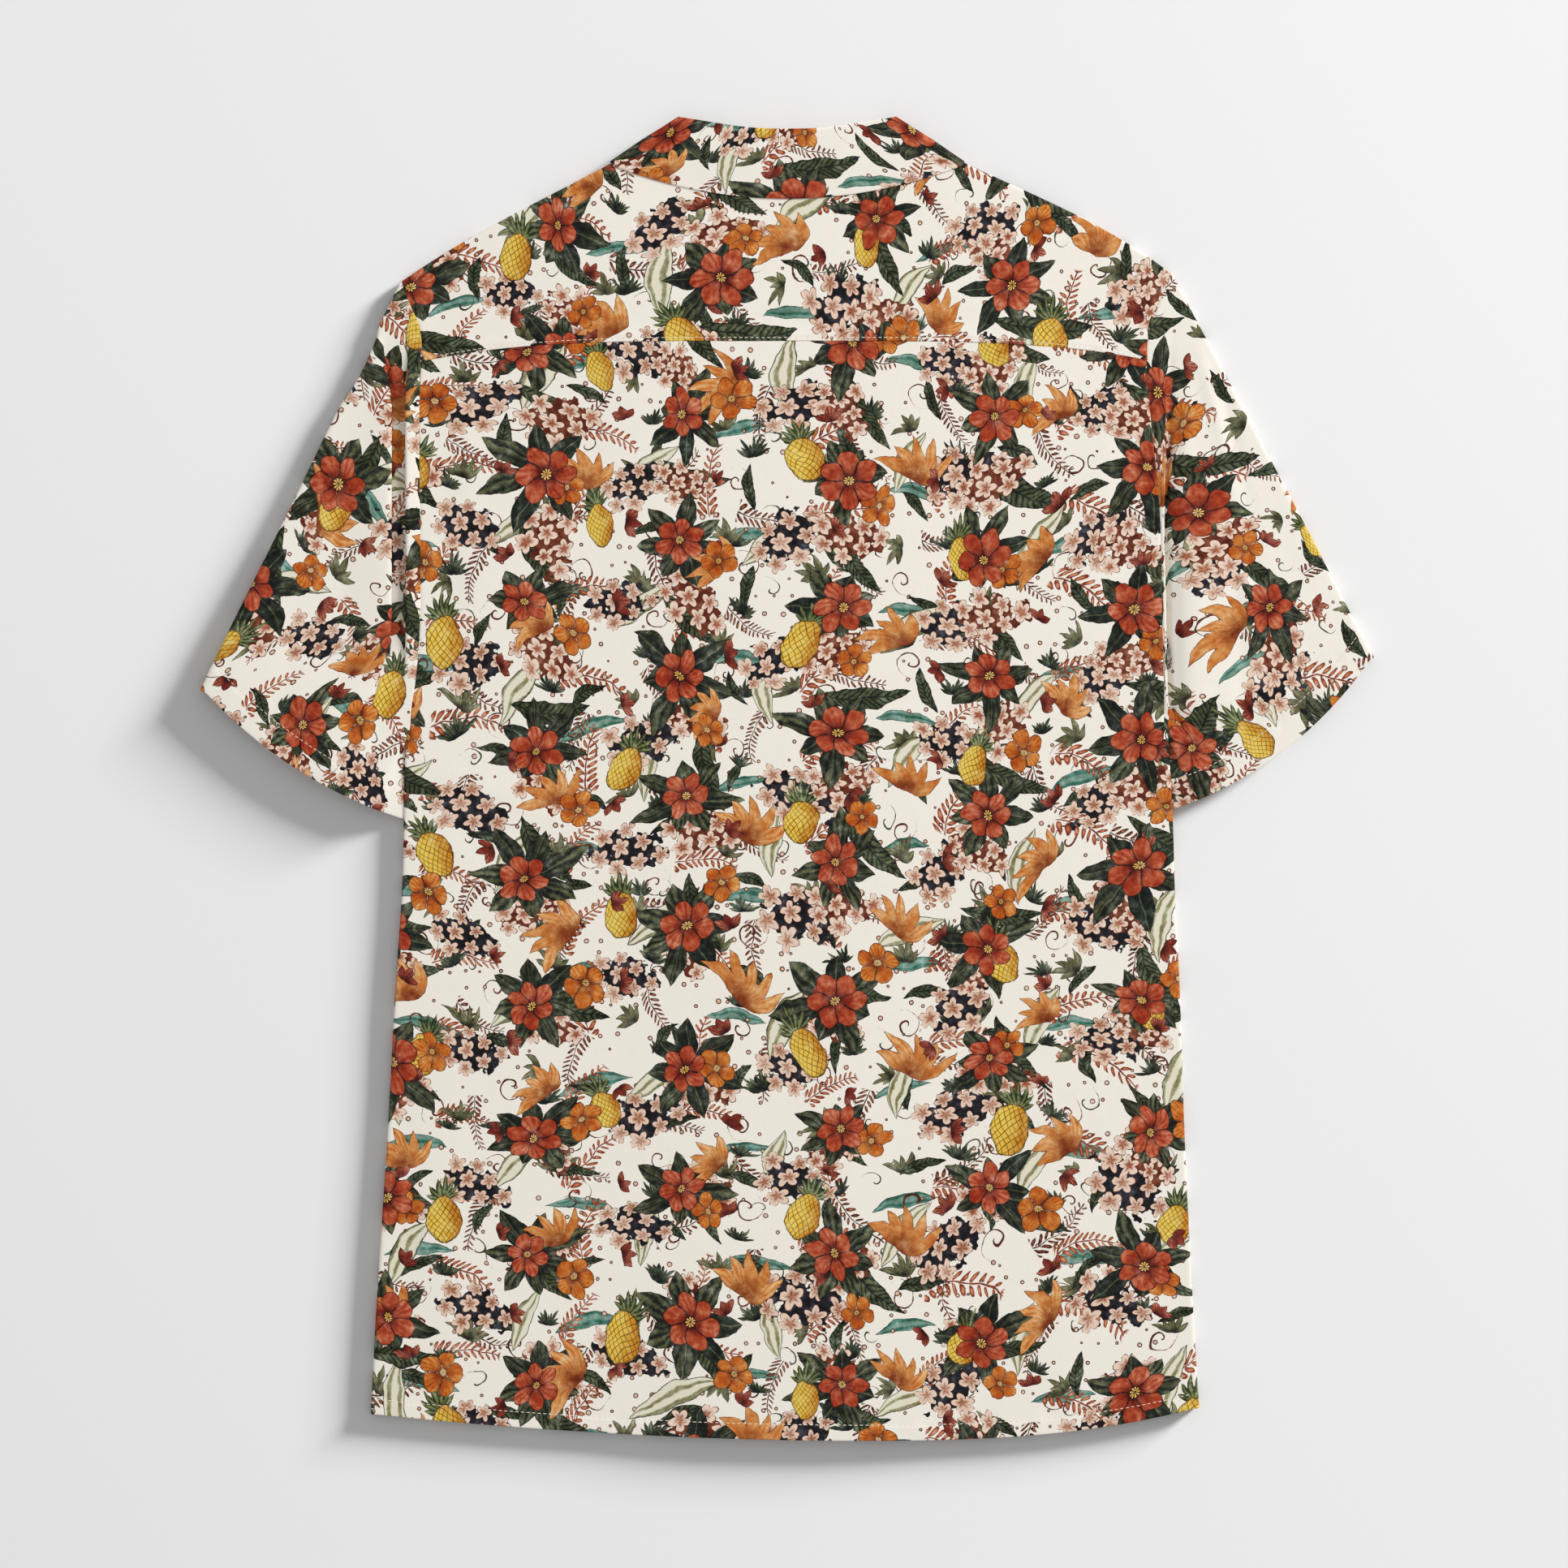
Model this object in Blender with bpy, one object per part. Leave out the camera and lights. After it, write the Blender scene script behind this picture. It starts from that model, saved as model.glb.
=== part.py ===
"""Short-sleeved camp-collar shirt, laid flat on its face with its back up.

Every piece that a maker cuts is one solid: back, yoke, two fronts with their revers, two sleeves,
a one-piece collar and five buttons. The cloth is a wall of even thickness about a middle surface, and
each middle surface is worked out from the sizes and the short tables below. Lengths in this file are
millimetres until make_object turns them into metres. +X is the wearer's right, +Y runs from the hem
to the collar, +Z is up, and the table that the shirt lies on is z = 0.
"""

import bmesh
import bpy
import numpy as np

METRES = 0.001
NONE = 1e-6             # lengths under this count as nothing
CUBIC_BUMP = 27 / 4     # makes the top of t * t * (1 - t) one

CLOTH = 1.2            # thickness of the cloth wall
SEAM_GAP = 0.3         # between pieces that are sewn together
LOW = CLOTH / 2        # middle of cloth that lies on the table
FOLD = 2.2             # radius of the body's side folds and shoulder folds, at the middle of the cloth
EDGE = FOLD + CLOTH / 2
TOP = LOW + 2 * FOLD   # middle of the back panel where nothing lifts it

NECK_RISE = 2.1        # how far the collar and revers underneath lift the cloth around the neck
NECK_MIDDLE = (0.0, 345.0)
NECK_REACH = (165.0, 130.0)      # lift starts and is full at these distances from the neck's middle
CROWN_REACH = (120.0, 24.0)      # the placket's lift starts and is full this far from the middle
BACK_CROWN = 1.5
LEFT_LAP_RISE = 2.7              # the left front laps lowest, over the buttons
RIGHT_LAP_RISE = 4.2
LAP_FADE_Y = (248.0, 220.0)        # above the top button the laps part and come down

UNDERARM_Y = 25.0
YOKE_SEAM_Y = 256.0
YOKE_SEAM_DROP = 12.0            # the yoke seam runs lower at the armholes, at this distance out
YOKE_SEAM_END = 214.0
NECK_POINT = (84.7, 365.8)       # where the neckline meets the shoulder fold, on the fold's centre line
BACK_NECK_Y = 353.0
YOKE_RETURN = 18.0               # how far the yoke comes forward under the shoulder
HEM_LOW = (50.0, -386.0)         # lowest point of the curved hem
FRONT_HEM_SHORT = 4.0            # the fronts end this far above the back's hem

# Each side's corners, measured outwards from the middle of the shirt.
SIDES = {
    "left": {
        "sign": -1,
        "shoulder_tip": (224.7, 287.4), "shoulder_bulge": 3.0,
        "sleeve_tip": (342.5, 52.0), "sleeve_inner_y": -23.0, "cuff_bulge": 8.5,
        "hem_corner_y": -370.5, "hem_power": 2.0,
    },
    "right": {
        "sign": 1,
        "shoulder_tip": (223.7, 292.0), "shoulder_bulge": 5.0,
        "sleeve_tip": (342.5, 71.0), "sleeve_inner_y": -17.5, "cuff_bulge": 11.5,
        "hem_corner_y": -366.5, "hem_power": 2.6,
    },
}

# Half width of the body at its side folds, at these heights.
SIDE_FOLDS = {
    "y":     (-372.0, -304.0, -209.0, -114.0, -66.0, -31.0, 25.0),
    "left":  (243.5, 239.9, 233.7, 228.5, 225.2, 224.2, 223.3),
    "right": (241.0, 237.0, 232.3, 229.0, 226.6, 225.6, 222.8),
}

# Distance of the armhole seams from the middle, at these heights.
ARMHOLES = {
    "y":     (25.0, 38.0, 56.0, 82.0, 125.0, 160.0, 190.0, 218.0, 241.0, 256.0, 265.0, 277.0, 292.0),
    "left":  (220.5, 220.1, 217.6, 215.2, 214.6, 215.0, 215.2, 215.2, 214.2, 214.0, 215.6, 221.0, 226.0),
    "right": (220.0, 220.3, 220.0, 219.4, 218.6, 217.4, 214.6, 211.9, 210.2, 211.0, 213.3, 217.6, 223.7),
}

# Height of the sleeve's upper layer across its folds, by distance out from the armhole seam.
SLEEVE_FOLDS = {
    "out":   (0.0, 2.5, 5.0, 8.5, 12.0, 15.0, 18.0, 26.0, 45.0, 80.0, 150.0),
    "left":  (5.0, 5.0, 6.1, 4.8, 3.2, 4.2, 6.4, 6.1, 5.6, 5.2, 4.8),
    "right": (5.0, 5.0, 6.4, 5.0, 3.0, 3.2, 3.9, 4.8, 5.6, 5.4, 4.8),
}
FOLD_FADE = {"left": (45.0, 100.0, 225.0, 258.0), "right": (15.0, 60.0, 225.0, 258.0)}
CUFF_Z = 4.4           # middle of the sleeve's upper layer at its hem
INNER_Z = 3.8          # and along its inner edge, beside the body

# The collar on one side: the seam to the neckline, the fold and the outer edge, on top and underneath.
FOLD_MIDDLE_Y, LEAF_MIDDLE_Y = 380.5, 338.0
COLLAR_FOLD_CORNER = (61.6, 381.6)
COLLAR_EDGE_CORNER = (101.6, 357.0)
STAND_RADIUS = FOLD
LEAF_RADIUS = FOLD + NECK_RISE
COLLAR_CENTRE_Z = LOW + LEAF_RADIUS
COLLAR_UNDER = {   # from the side of the neck to the collar's point
    "seam": (NECK_POINT, (74.0, 350.5), (54.0, 327.0)),
    "fold": (COLLAR_FOLD_CORNER, (56.0, 354.0), (50.8, 328.0)),
    "edge": (COLLAR_EDGE_CORNER, (107.5, 317.0), (104.0, 277.0)),
}

ROLL_LINE = ((1.0, 220.0), (50.0, 326.0))   # each revers folds back along this line
LAP = 17.0                                   # each placket passes the middle by this much
LAP_TOP_Y = 212.0
LAPEL_TIP_Y, GORGE = 300.0, (33.0, 316.0)    # corners of the front before its revers is folded
REVERS_RISE = np.array([0.0, 2.0, 0.0, -12.0])   # its edge's rows stand off the roll line's by this much
NECKLINE_BEND = (64.0, 335.0)                # the neckline turns here, from the revers to the shoulder

BUTTON_YS = (205.0, 105.0, 5.0, -95.0, -195.0)
BUTTON_SIDES = 20
BUTTON_PROFILE = np.array([      # from the dished face, which lies down, round the rim to the flat back
    (0.0, 0.55), (3.3, 0.55), (4.1, 0.0), (5.2, 0.0), (5.75, 0.6), (5.75, 1.7), (5.0, 2.4), (0.0, 2.4),
])


def smooth(value, start, end):
    """0 at start, 1 at end, with level ends."""
    t = np.clip((value - start) / (end - start), 0, 1)
    return t * t * (3 - 2 * t)


def through(knots, values, at):
    """A smooth curve through a table's rows."""
    knots, values = np.asarray(knots, float), np.asarray(values, float)
    slopes = np.gradient(values, knots)
    k = np.clip(np.searchsorted(knots, at) - 1, 0, len(knots) - 2)
    step = knots[k + 1] - knots[k]
    t = np.clip((at - knots[k]) / step, 0, 1)
    return (
        values[k] * (1 + 2 * t) * (1 - t) ** 2
        + values[k + 1] * (3 - 2 * t) * t * t
        + step * (slopes[k] * t * (1 - t) ** 2 - slopes[k + 1] * t * t * (1 - t))
    )


def bow(points, at):
    """A quadratic arc that passes through three points, at the fractions 0 to 1."""
    start, middle, end = (np.array(p, float) for p in points)
    at = np.asarray(at, float)[:, None]
    return start * (1 - at) * (1 - 2 * at) + middle * 4 * at * (1 - at) + end * at * (2 * at - 1)


def neck_lift(x, y):
    away = np.hypot(x - NECK_MIDDLE[0], y - NECK_MIDDLE[1])
    return NECK_RISE * smooth(away, *NECK_REACH)


def top_z(x, y):
    """Middle of the back and the yoke: level, lifted along the placket and round the neck."""
    return TOP + np.maximum(BACK_CROWN * smooth(np.abs(x), *CROWN_REACH), neck_lift(x, y))


def under_z(x, y, lap_rise):
    """Middle of the fronts: on the table, lifted over the buttons, the revers and the collar."""
    placket = lap_rise * smooth(np.abs(x), *CROWN_REACH) * smooth(y, *LAP_FADE_Y)
    return LOW + np.maximum(placket, neck_lift(x, y))


def armhole_x(side, y):
    return through(ARMHOLES["y"], ARMHOLES[side], y)


def side_x(side, y):
    return through(SIDE_FOLDS["y"], SIDE_FOLDS[side], y)


def yoke_seam_y(x):
    return YOKE_SEAM_Y - YOKE_SEAM_DROP * (np.abs(x) / YOKE_SEAM_END) ** 4


def hem_y(x):
    left, right = (SIDES[s] for s in ("left", "right"))
    x = np.asarray(x, float)
    out_left = np.clip((HEM_LOW[0] - x) / (HEM_LOW[0] + SIDE_FOLDS["left"][0]), 0, 1)
    out_right = np.clip((x - HEM_LOW[0]) / (SIDE_FOLDS["right"][0] - HEM_LOW[0]), 0, 1)
    rise_left = (left["hem_corner_y"] - HEM_LOW[1]) * out_left ** left["hem_power"]
    rise_right = (right["hem_corner_y"] - HEM_LOW[1]) * out_right ** right["hem_power"]
    return HEM_LOW[1] + rise_left + rise_right


def shoulder_centre(side, out):
    """Height of the shoulder fold's centre line at a distance out from the middle.

    The line is straight but for a bulge, a cubic bump whose top lies two thirds of the way out.
    """
    tip, bulge = SIDES[side]["shoulder_tip"], SIDES[side]["shoulder_bulge"]
    t = np.clip((out - NECK_POINT[0]) / (tip[0] - NECK_POINT[0]), 0, 1)
    return NECK_POINT[1] + (tip[1] - NECK_POINT[1]) * t + bulge * CUBIC_BUMP * t * t * (1 - t)


def shoulder_normal(side):
    tip = np.array(SIDES[side]["shoulder_tip"])
    along = tip - np.array(NECK_POINT)
    return np.array([-along[1], along[0]]) / np.hypot(*along)


def unit(vectors):
    return vectors / np.maximum(np.linalg.norm(vectors, axis=-1, keepdims=True), 1e-9)


def wall(middle, cells=None, ring=False):
    """(points, faces) of the closed wall about a middle surface, a grid of rows by columns by 3.

    cells is the mask of the grid's cells that have cloth, and a ring's last column joins its first.
    """
    rows, cols = middle.shape[:2]
    if ring:
        padded = np.concatenate([middle[:, -1:], middle, middle[:, :1]], axis=1)
        across = np.gradient(padded, axis=1)[:, 1:-1]
    else:
        across = np.gradient(middle, axis=1)
    normal = unit(np.cross(across, np.gradient(middle, axis=0)))
    points = np.concatenate([
        (middle + normal * CLOTH / 2).reshape(-1, 3), (middle - normal * CLOTH / 2).reshape(-1, 3)
    ])
    width = cols if ring else cols - 1
    if cells is None:
        cells = np.ones((rows - 1, width), bool)
    i, j = np.nonzero(cells)
    k = (j + 1) % cols
    corners = np.stack([i * cols + j, i * cols + k, (i + 1) * cols + k, (i + 1) * cols + j], axis=1)
    edges = np.concatenate([corners[:, [a, (a + 1) % 4]] for a in range(4)])
    ours = {tuple(edge) for edge in edges.tolist()}
    rim = np.array([edge for edge in sorted(ours) if edge[::-1] not in ours])
    inner = rows * cols
    faces = np.concatenate([
        corners,
        corners[:, ::-1] + inner,
        np.stack([rim[:, 1], rim[:, 0], rim[:, 0] + inner, rim[:, 1] + inner], axis=1),
    ])
    used, index = np.unique(faces, return_inverse=True)
    return points[used], index.reshape(faces.shape)


def make_object(name, points, faces, material):
    """A mesh object in metres, with its faces pointing outwards."""
    mesh = bpy.data.meshes.new(name)
    mesh.from_pydata((np.asarray(points) * METRES).tolist(), [], [tuple(face) for face in faces])
    shell = bmesh.new()
    shell.from_mesh(mesh)
    bmesh.ops.recalc_face_normals(shell, faces=shell.faces)
    shell.to_mesh(mesh)
    shell.free()
    mesh.materials.append(material)
    mesh.shade_smooth()
    mesh.set_sharp_from_angle(angle=np.radians(40))
    obj = bpy.data.objects.new(name, mesh)
    bpy.context.scene.collection.objects.link(obj)
    return obj


def finish(name, colour, roughness):
    material = bpy.data.materials.new(name)
    material.use_nodes = True
    shader = material.node_tree.nodes["Principled BSDF"]
    shader.inputs["Base Color"].default_value = (*colour, 1)
    shader.inputs["Roughness"].default_value = roughness
    return material


# Rows up the body: from the hem to the underarm, where the side folds end, and on up the armholes.
SIDE_ROWS = np.linspace(0, 1, 9)
ARMHOLE_ROWS = np.array([0.06, 0.15, 0.28, 0.46, 0.64, 0.82, 1])
UNDERARM_ROW = len(SIDE_ROWS) - 1
SIDE_ARC = np.radians([90, 60, 30, 0, -30, -60, -90])
BACK_COLUMNS = 25


def body_rows(low, high):
    """Heights of the body's rows where its hem is at low and its top edge is at high."""
    low, high = np.atleast_1d(low), np.atleast_1d(high)
    below = low + (UNDERARM_Y - low) * SIDE_ROWS[:, None]
    return np.vstack([below, UNDERARM_Y + (high - UNDERARM_Y) * ARMHOLE_ROWS[:, None]])


def body_edge(side, seam_y, hem_corner_y):
    """The last points of the flat cloth on one side, row by row, as (out, y)."""
    y = body_rows(hem_corner_y, seam_y)[:, 0]
    out = np.where(y > UNDERARM_Y + NONE, armhole_x(side, y), side_x(side, y) - EDGE)
    return out, y


def back_grid():
    """Rows up the back, columns across it, with a side fold's columns at each end."""
    edges = {}
    for side, values in SIDES.items():
        seam = yoke_seam_y(armhole_x(side, YOKE_SEAM_Y - YOKE_SEAM_DROP)) - SEAM_GAP / 2
        edges[side] = body_edge(side, seam, values["hem_corner_y"])
    across = np.linspace(0, 1, BACK_COLUMNS)[None, :]
    left, right = -edges["left"][0][:, None], edges["right"][0][:, None]
    x = left + (right - left) * across
    y = body_rows(hem_y(x[0]), yoke_seam_y(x[-1]) - SEAM_GAP / 2)
    flat = np.stack([x, y, top_z(x, y)], axis=2)
    wraps = []
    for side, column in (("left", 0), ("right", -1)):
        sign = SIDES[side]["sign"]
        arc = SIDE_ARC[1:]
        base = flat[:, column][:, None, :]
        wrap = np.repeat(base, len(arc), axis=1)
        wrap[:, :, 0] += sign * FOLD * np.cos(arc)
        wrap[:, :, 2] += FOLD * (np.sin(arc) - 1)
        wraps.append(wrap[:, ::-1] if side == "left" else wrap)
    middle = np.concatenate([wraps[0], flat, wraps[1]], axis=1)
    cells = np.ones((middle.shape[0] - 1, middle.shape[1] - 1), bool)
    fold = len(SIDE_ARC) - 1
    cells[UNDERARM_ROW:, :fold] = False
    cells[UNDERARM_ROW:, -fold:] = False
    return middle, cells


YOKE_ROWS = np.array([0, 0.28, 0.52, 0.76, 1])
THIRD_COLUMNS = 7       # columns across each shoulder, and across the neck between them
YOKE_SPREAD = np.arange(3 * THIRD_COLUMNS + 1) / THIRD_COLUMNS


def yoke_grid():
    """Rows up from the yoke seam, over the shoulder fold and forward under it, and columns across."""
    left_tip, right_tip = -SIDES["left"]["shoulder_tip"][0], SIDES["right"]["shoulder_tip"][0]
    top_x = np.interp(YOKE_SPREAD, (0, 1, 2, 3), (left_tip, -NECK_POINT[0], NECK_POINT[0], right_tip))
    share = (top_x - left_tip) / (right_tip - left_tip)
    edge = {}
    for side, values in SIDES.items():
        low = yoke_seam_y(YOKE_SEAM_END) + SEAM_GAP / 2
        y = low + (values["shoulder_tip"][1] - low) * YOKE_ROWS
        edge[side] = np.append(armhole_x(side, y[:-1]), values["shoulder_tip"][0])
    x = -edge["left"][:, None] + (edge["left"] + edge["right"])[:, None] * share
    neck = BACK_NECK_Y + (NECK_POINT[1] - BACK_NECK_Y) * (top_x / NECK_POINT[0]) ** 2
    shoulder = np.where(top_x < 0, shoulder_centre("left", -top_x), shoulder_centre("right", top_x))
    high = np.where(np.abs(top_x) < NECK_POINT[0] - NONE, neck, shoulder)
    low = yoke_seam_y(x[0]) + SEAM_GAP / 2
    y = low + (high - low) * YOKE_ROWS[:, None]
    flat = np.stack([x, y, top_z(x, y)], axis=2)
    normal = np.where((top_x < 0)[:, None], shoulder_normal("left") * (-1, 1), shoulder_normal("right"))
    last = flat[-1]
    rows = [flat]
    for angle in SIDE_ARC[1:]:
        rise = FOLD * (np.sin(angle) - 1)
        plan = last[:, :2] + FOLD * np.cos(angle) * normal
        rows.append(np.column_stack([plan, last[:, 2] + rise])[None])
    for reach in (YOKE_RETURN / 2, YOKE_RETURN):
        under = last[:, :2] - normal * reach
        rows.append(np.column_stack([under, under_z(under[:, 0], under[:, 1], 0)])[None])
    middle = np.concatenate(rows)
    cells = np.ones((middle.shape[0] - 1, middle.shape[1] - 1), bool)
    cells[len(YOKE_ROWS) - 1:, THIRD_COLUMNS:2 * THIRD_COLUMNS] = False
    return middle, cells


def yoke_front_seam(side, share):
    """The yoke's front seam, underneath, from the neck (share 0) to the armhole (share 1), as (out, y)."""
    out = NECK_POINT[0] + (SIDES[side]["shoulder_tip"][0] - NECK_POINT[0]) * share
    centre = np.column_stack([out, shoulder_centre(side, out)])
    return centre - shoulder_normal(side) * (YOKE_RETURN + SEAM_GAP)


# Rows up a front: the body's rows, the last three of them at these heights of the roll line, then
# rows that turn with the neckline up to the yoke's front seam. A lap's columns lie at these shares.
PANEL_SHARE = np.linspace(0, 1, 10)
ROLL_ROW_YS = np.array([222.0, 255.0, 290.0])
ROLL_ROWS = len(ROLL_ROW_YS)
GORGE_ROWS = np.array([0.35, 0.7, 1.0])
LAP_SHARE = np.array([0.12, 0.3, 0.65, 1.0])


def reflect(points):
    """Mirror image of points in the revers' roll line."""
    start, end = (np.array(p) for p in ROLL_LINE)
    along = unit(end - start)
    offset = points - start
    ahead = (offset @ along)[..., None] * along
    return start + 2 * ahead - offset


def front_grid(side):
    """One front: columns from the side seam to the placket, then its lap, or its revers folded back."""
    values = SIDES[side]
    lap_rise = LEFT_LAP_RISE if side == "left" else RIGHT_LAP_RISE
    seam = yoke_seam_y(YOKE_SEAM_END)
    out, y = body_edge(side, seam, values["hem_corner_y"] + FRONT_HEM_SHORT)
    out = out - np.where(y > UNDERARM_Y + NONE, 0, SEAM_GAP)
    neck, armhole = yoke_front_seam(side, np.array([0.0, 1.0]))
    outer = np.column_stack([out, y])
    outer = np.vstack([outer, outer[-1] + (armhole - outer[-1]) * GORGE_ROWS[:, None]])
    roll_start, roll_end = (np.array(p) for p in ROLL_LINE)

    # The fold column runs up the middle, then along the roll line, then up the neckline.
    straight = len(y) - ROLL_ROWS
    below_roll = ARMHOLE_ROWS[-1 - ROLL_ROWS]
    full_height = UNDERARM_Y + (LAP_TOP_Y - UNDERARM_Y) / below_roll
    inner_y = body_rows(hem_y(0) + FRONT_HEM_SHORT, full_height)[:straight, 0]
    inner = np.column_stack([np.full(straight, roll_start[0]), inner_y])
    up_roll = (ROLL_ROW_YS - roll_start[1]) / (roll_end[1] - roll_start[1])
    roll = roll_start + (roll_end - roll_start) * up_roll[:, None]
    roll_last = roll[-1] + (roll_end - roll[-1]) * GORGE_ROWS[1]
    inner = np.vstack([inner, roll, roll_last, NECKLINE_BEND, neck])
    share = PANEL_SHARE[None, :, None]
    panel = outer[:, None, :] + (inner - outer)[:, None, :] * share
    sign = values["sign"]
    hem_curve = hem_y(sign * panel[0, :, 0]) + FRONT_HEM_SHORT - panel[0, :, 1]
    panel[:len(SIDE_ROWS), :, 1] += hem_curve * (1 - SIDE_ROWS[:, None])
    panel_z = under_z(panel[..., 0], panel[..., 1], lap_rise)

    # Below the roll line the lap passes the middle; beside it the same columns turn underneath.
    rows = len(inner)
    lap = np.zeros((rows, len(LAP_SHARE), 3))
    lap[:straight, :, 0] = inner[:straight, None, 0] - (LAP + roll_start[0]) * LAP_SHARE
    lap[:straight, :, 1] = inner[:straight, None, 1]
    lap[:straight, :, 2] = under_z(lap[:straight, :, 0], lap[:straight, :, 1], lap_rise)
    along = unit(roll_end - roll_start)
    across = np.array([-along[1], along[0]])
    turned = inner[straight:straight + ROLL_ROWS + 1]
    edge_y = np.minimum(turned[:, 1] + REVERS_RISE, LAPEL_TIP_Y)
    cut = np.column_stack([np.full(len(turned), -LAP), edge_y])
    cut[-1] = GORGE
    flap = reflect(cut)
    radius = NECK_RISE / 2
    here = slice(straight, straight + ROLL_ROWS + 1)
    lap[here, 0, :2], lap[here, 0, 2] = turned + across * radius, LOW + radius
    lap[here, 1, :2], lap[here, 1, 2] = turned, LOW
    lap[here, 2, :2], lap[here, 2, 2] = (turned + flap) / 2, LOW
    lap[here, 3, :2], lap[here, 3, 2] = flap, LOW
    lap[straight + ROLL_ROWS + 1:] = lap[straight + ROLL_ROWS]
    grid = np.concatenate([np.concatenate([panel, panel_z[..., None]], axis=2), lap], axis=1)
    cells = np.ones((rows - 1, grid.shape[1] - 1), bool)
    columns = len(PANEL_SHARE) - 1
    cells[straight - 1, columns:] = False
    cells[straight + ROLL_ROWS:, columns:] = False
    grid[..., 0] *= sign
    return grid, cells


SLEEVE_NEAR = (0, 2.5, 5.0, 8.5, 12.0, 15.0, 18.0, 26.0, 45.0)     # distances of the first rings
SLEEVE_LEAST = (0, 0.04, 0.09, 0.15, 0.21, 0.27, 0.33, 0.42, 0.54)  # and their most, of a line's length
SLEEVE_FAR = (0.35, 0.7, 1.0)                                       # later rings, of what is left
CROTCH_RISE = 2.5      # the sleeve starts this far above the end of the body's side fold
BODY_GAP = 0.4         # between the sleeve's inner fold and the body's side
CUFF_FALL = (0.1, 1.0)     # the upper layer comes down to the hem's height between these shares
INNER_FALL = (0.0, 0.25)   # and to its inner edge's height between these, across it
ROOT_LEVEL = (0.0, 0.05)   # it leaves the armhole level with the body
CROTCH_FAN = (0, 0.5, 1.0, 1.5, 2.0, 2.5, 6.0, 10.0, 16.0)          # and its first rings fan round there
LEAST_HEADING = 0.02   # keeps the rings' steps finite where a line runs beside the body
OUTER_TURN_RINGS = 2   # over these rings the outer fold turns from the shoulder's line to the sleeve's


def sleeve_upper_z(side, out, y, share, along):
    """Height of the sleeve's upper layer: its folds beside the armhole, level further out."""
    seam = np.where(y > UNDERARM_Y, armhole_x(side, np.maximum(y, UNDERARM_Y)), side_x(side, y))
    beyond = np.clip(out - seam, 0, SLEEVE_FOLDS["out"][-1])
    folds = through(SLEEVE_FOLDS["out"], SLEEVE_FOLDS[side], beyond)
    start, full, level, end = FOLD_FADE[side]
    strength = smooth(y, start, full) * smooth(y, end, level)
    base = TOP + (CUFF_Z - TOP) * smooth(along, *CUFF_FALL)
    inner = INNER_Z + (base - INNER_Z) * smooth(share, *INNER_FALL)
    plain = np.where(along < NONE, TOP, base + (inner - base) * smooth(along, *ROOT_LEVEL))
    return plain + strength * (folds - plain)


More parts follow.
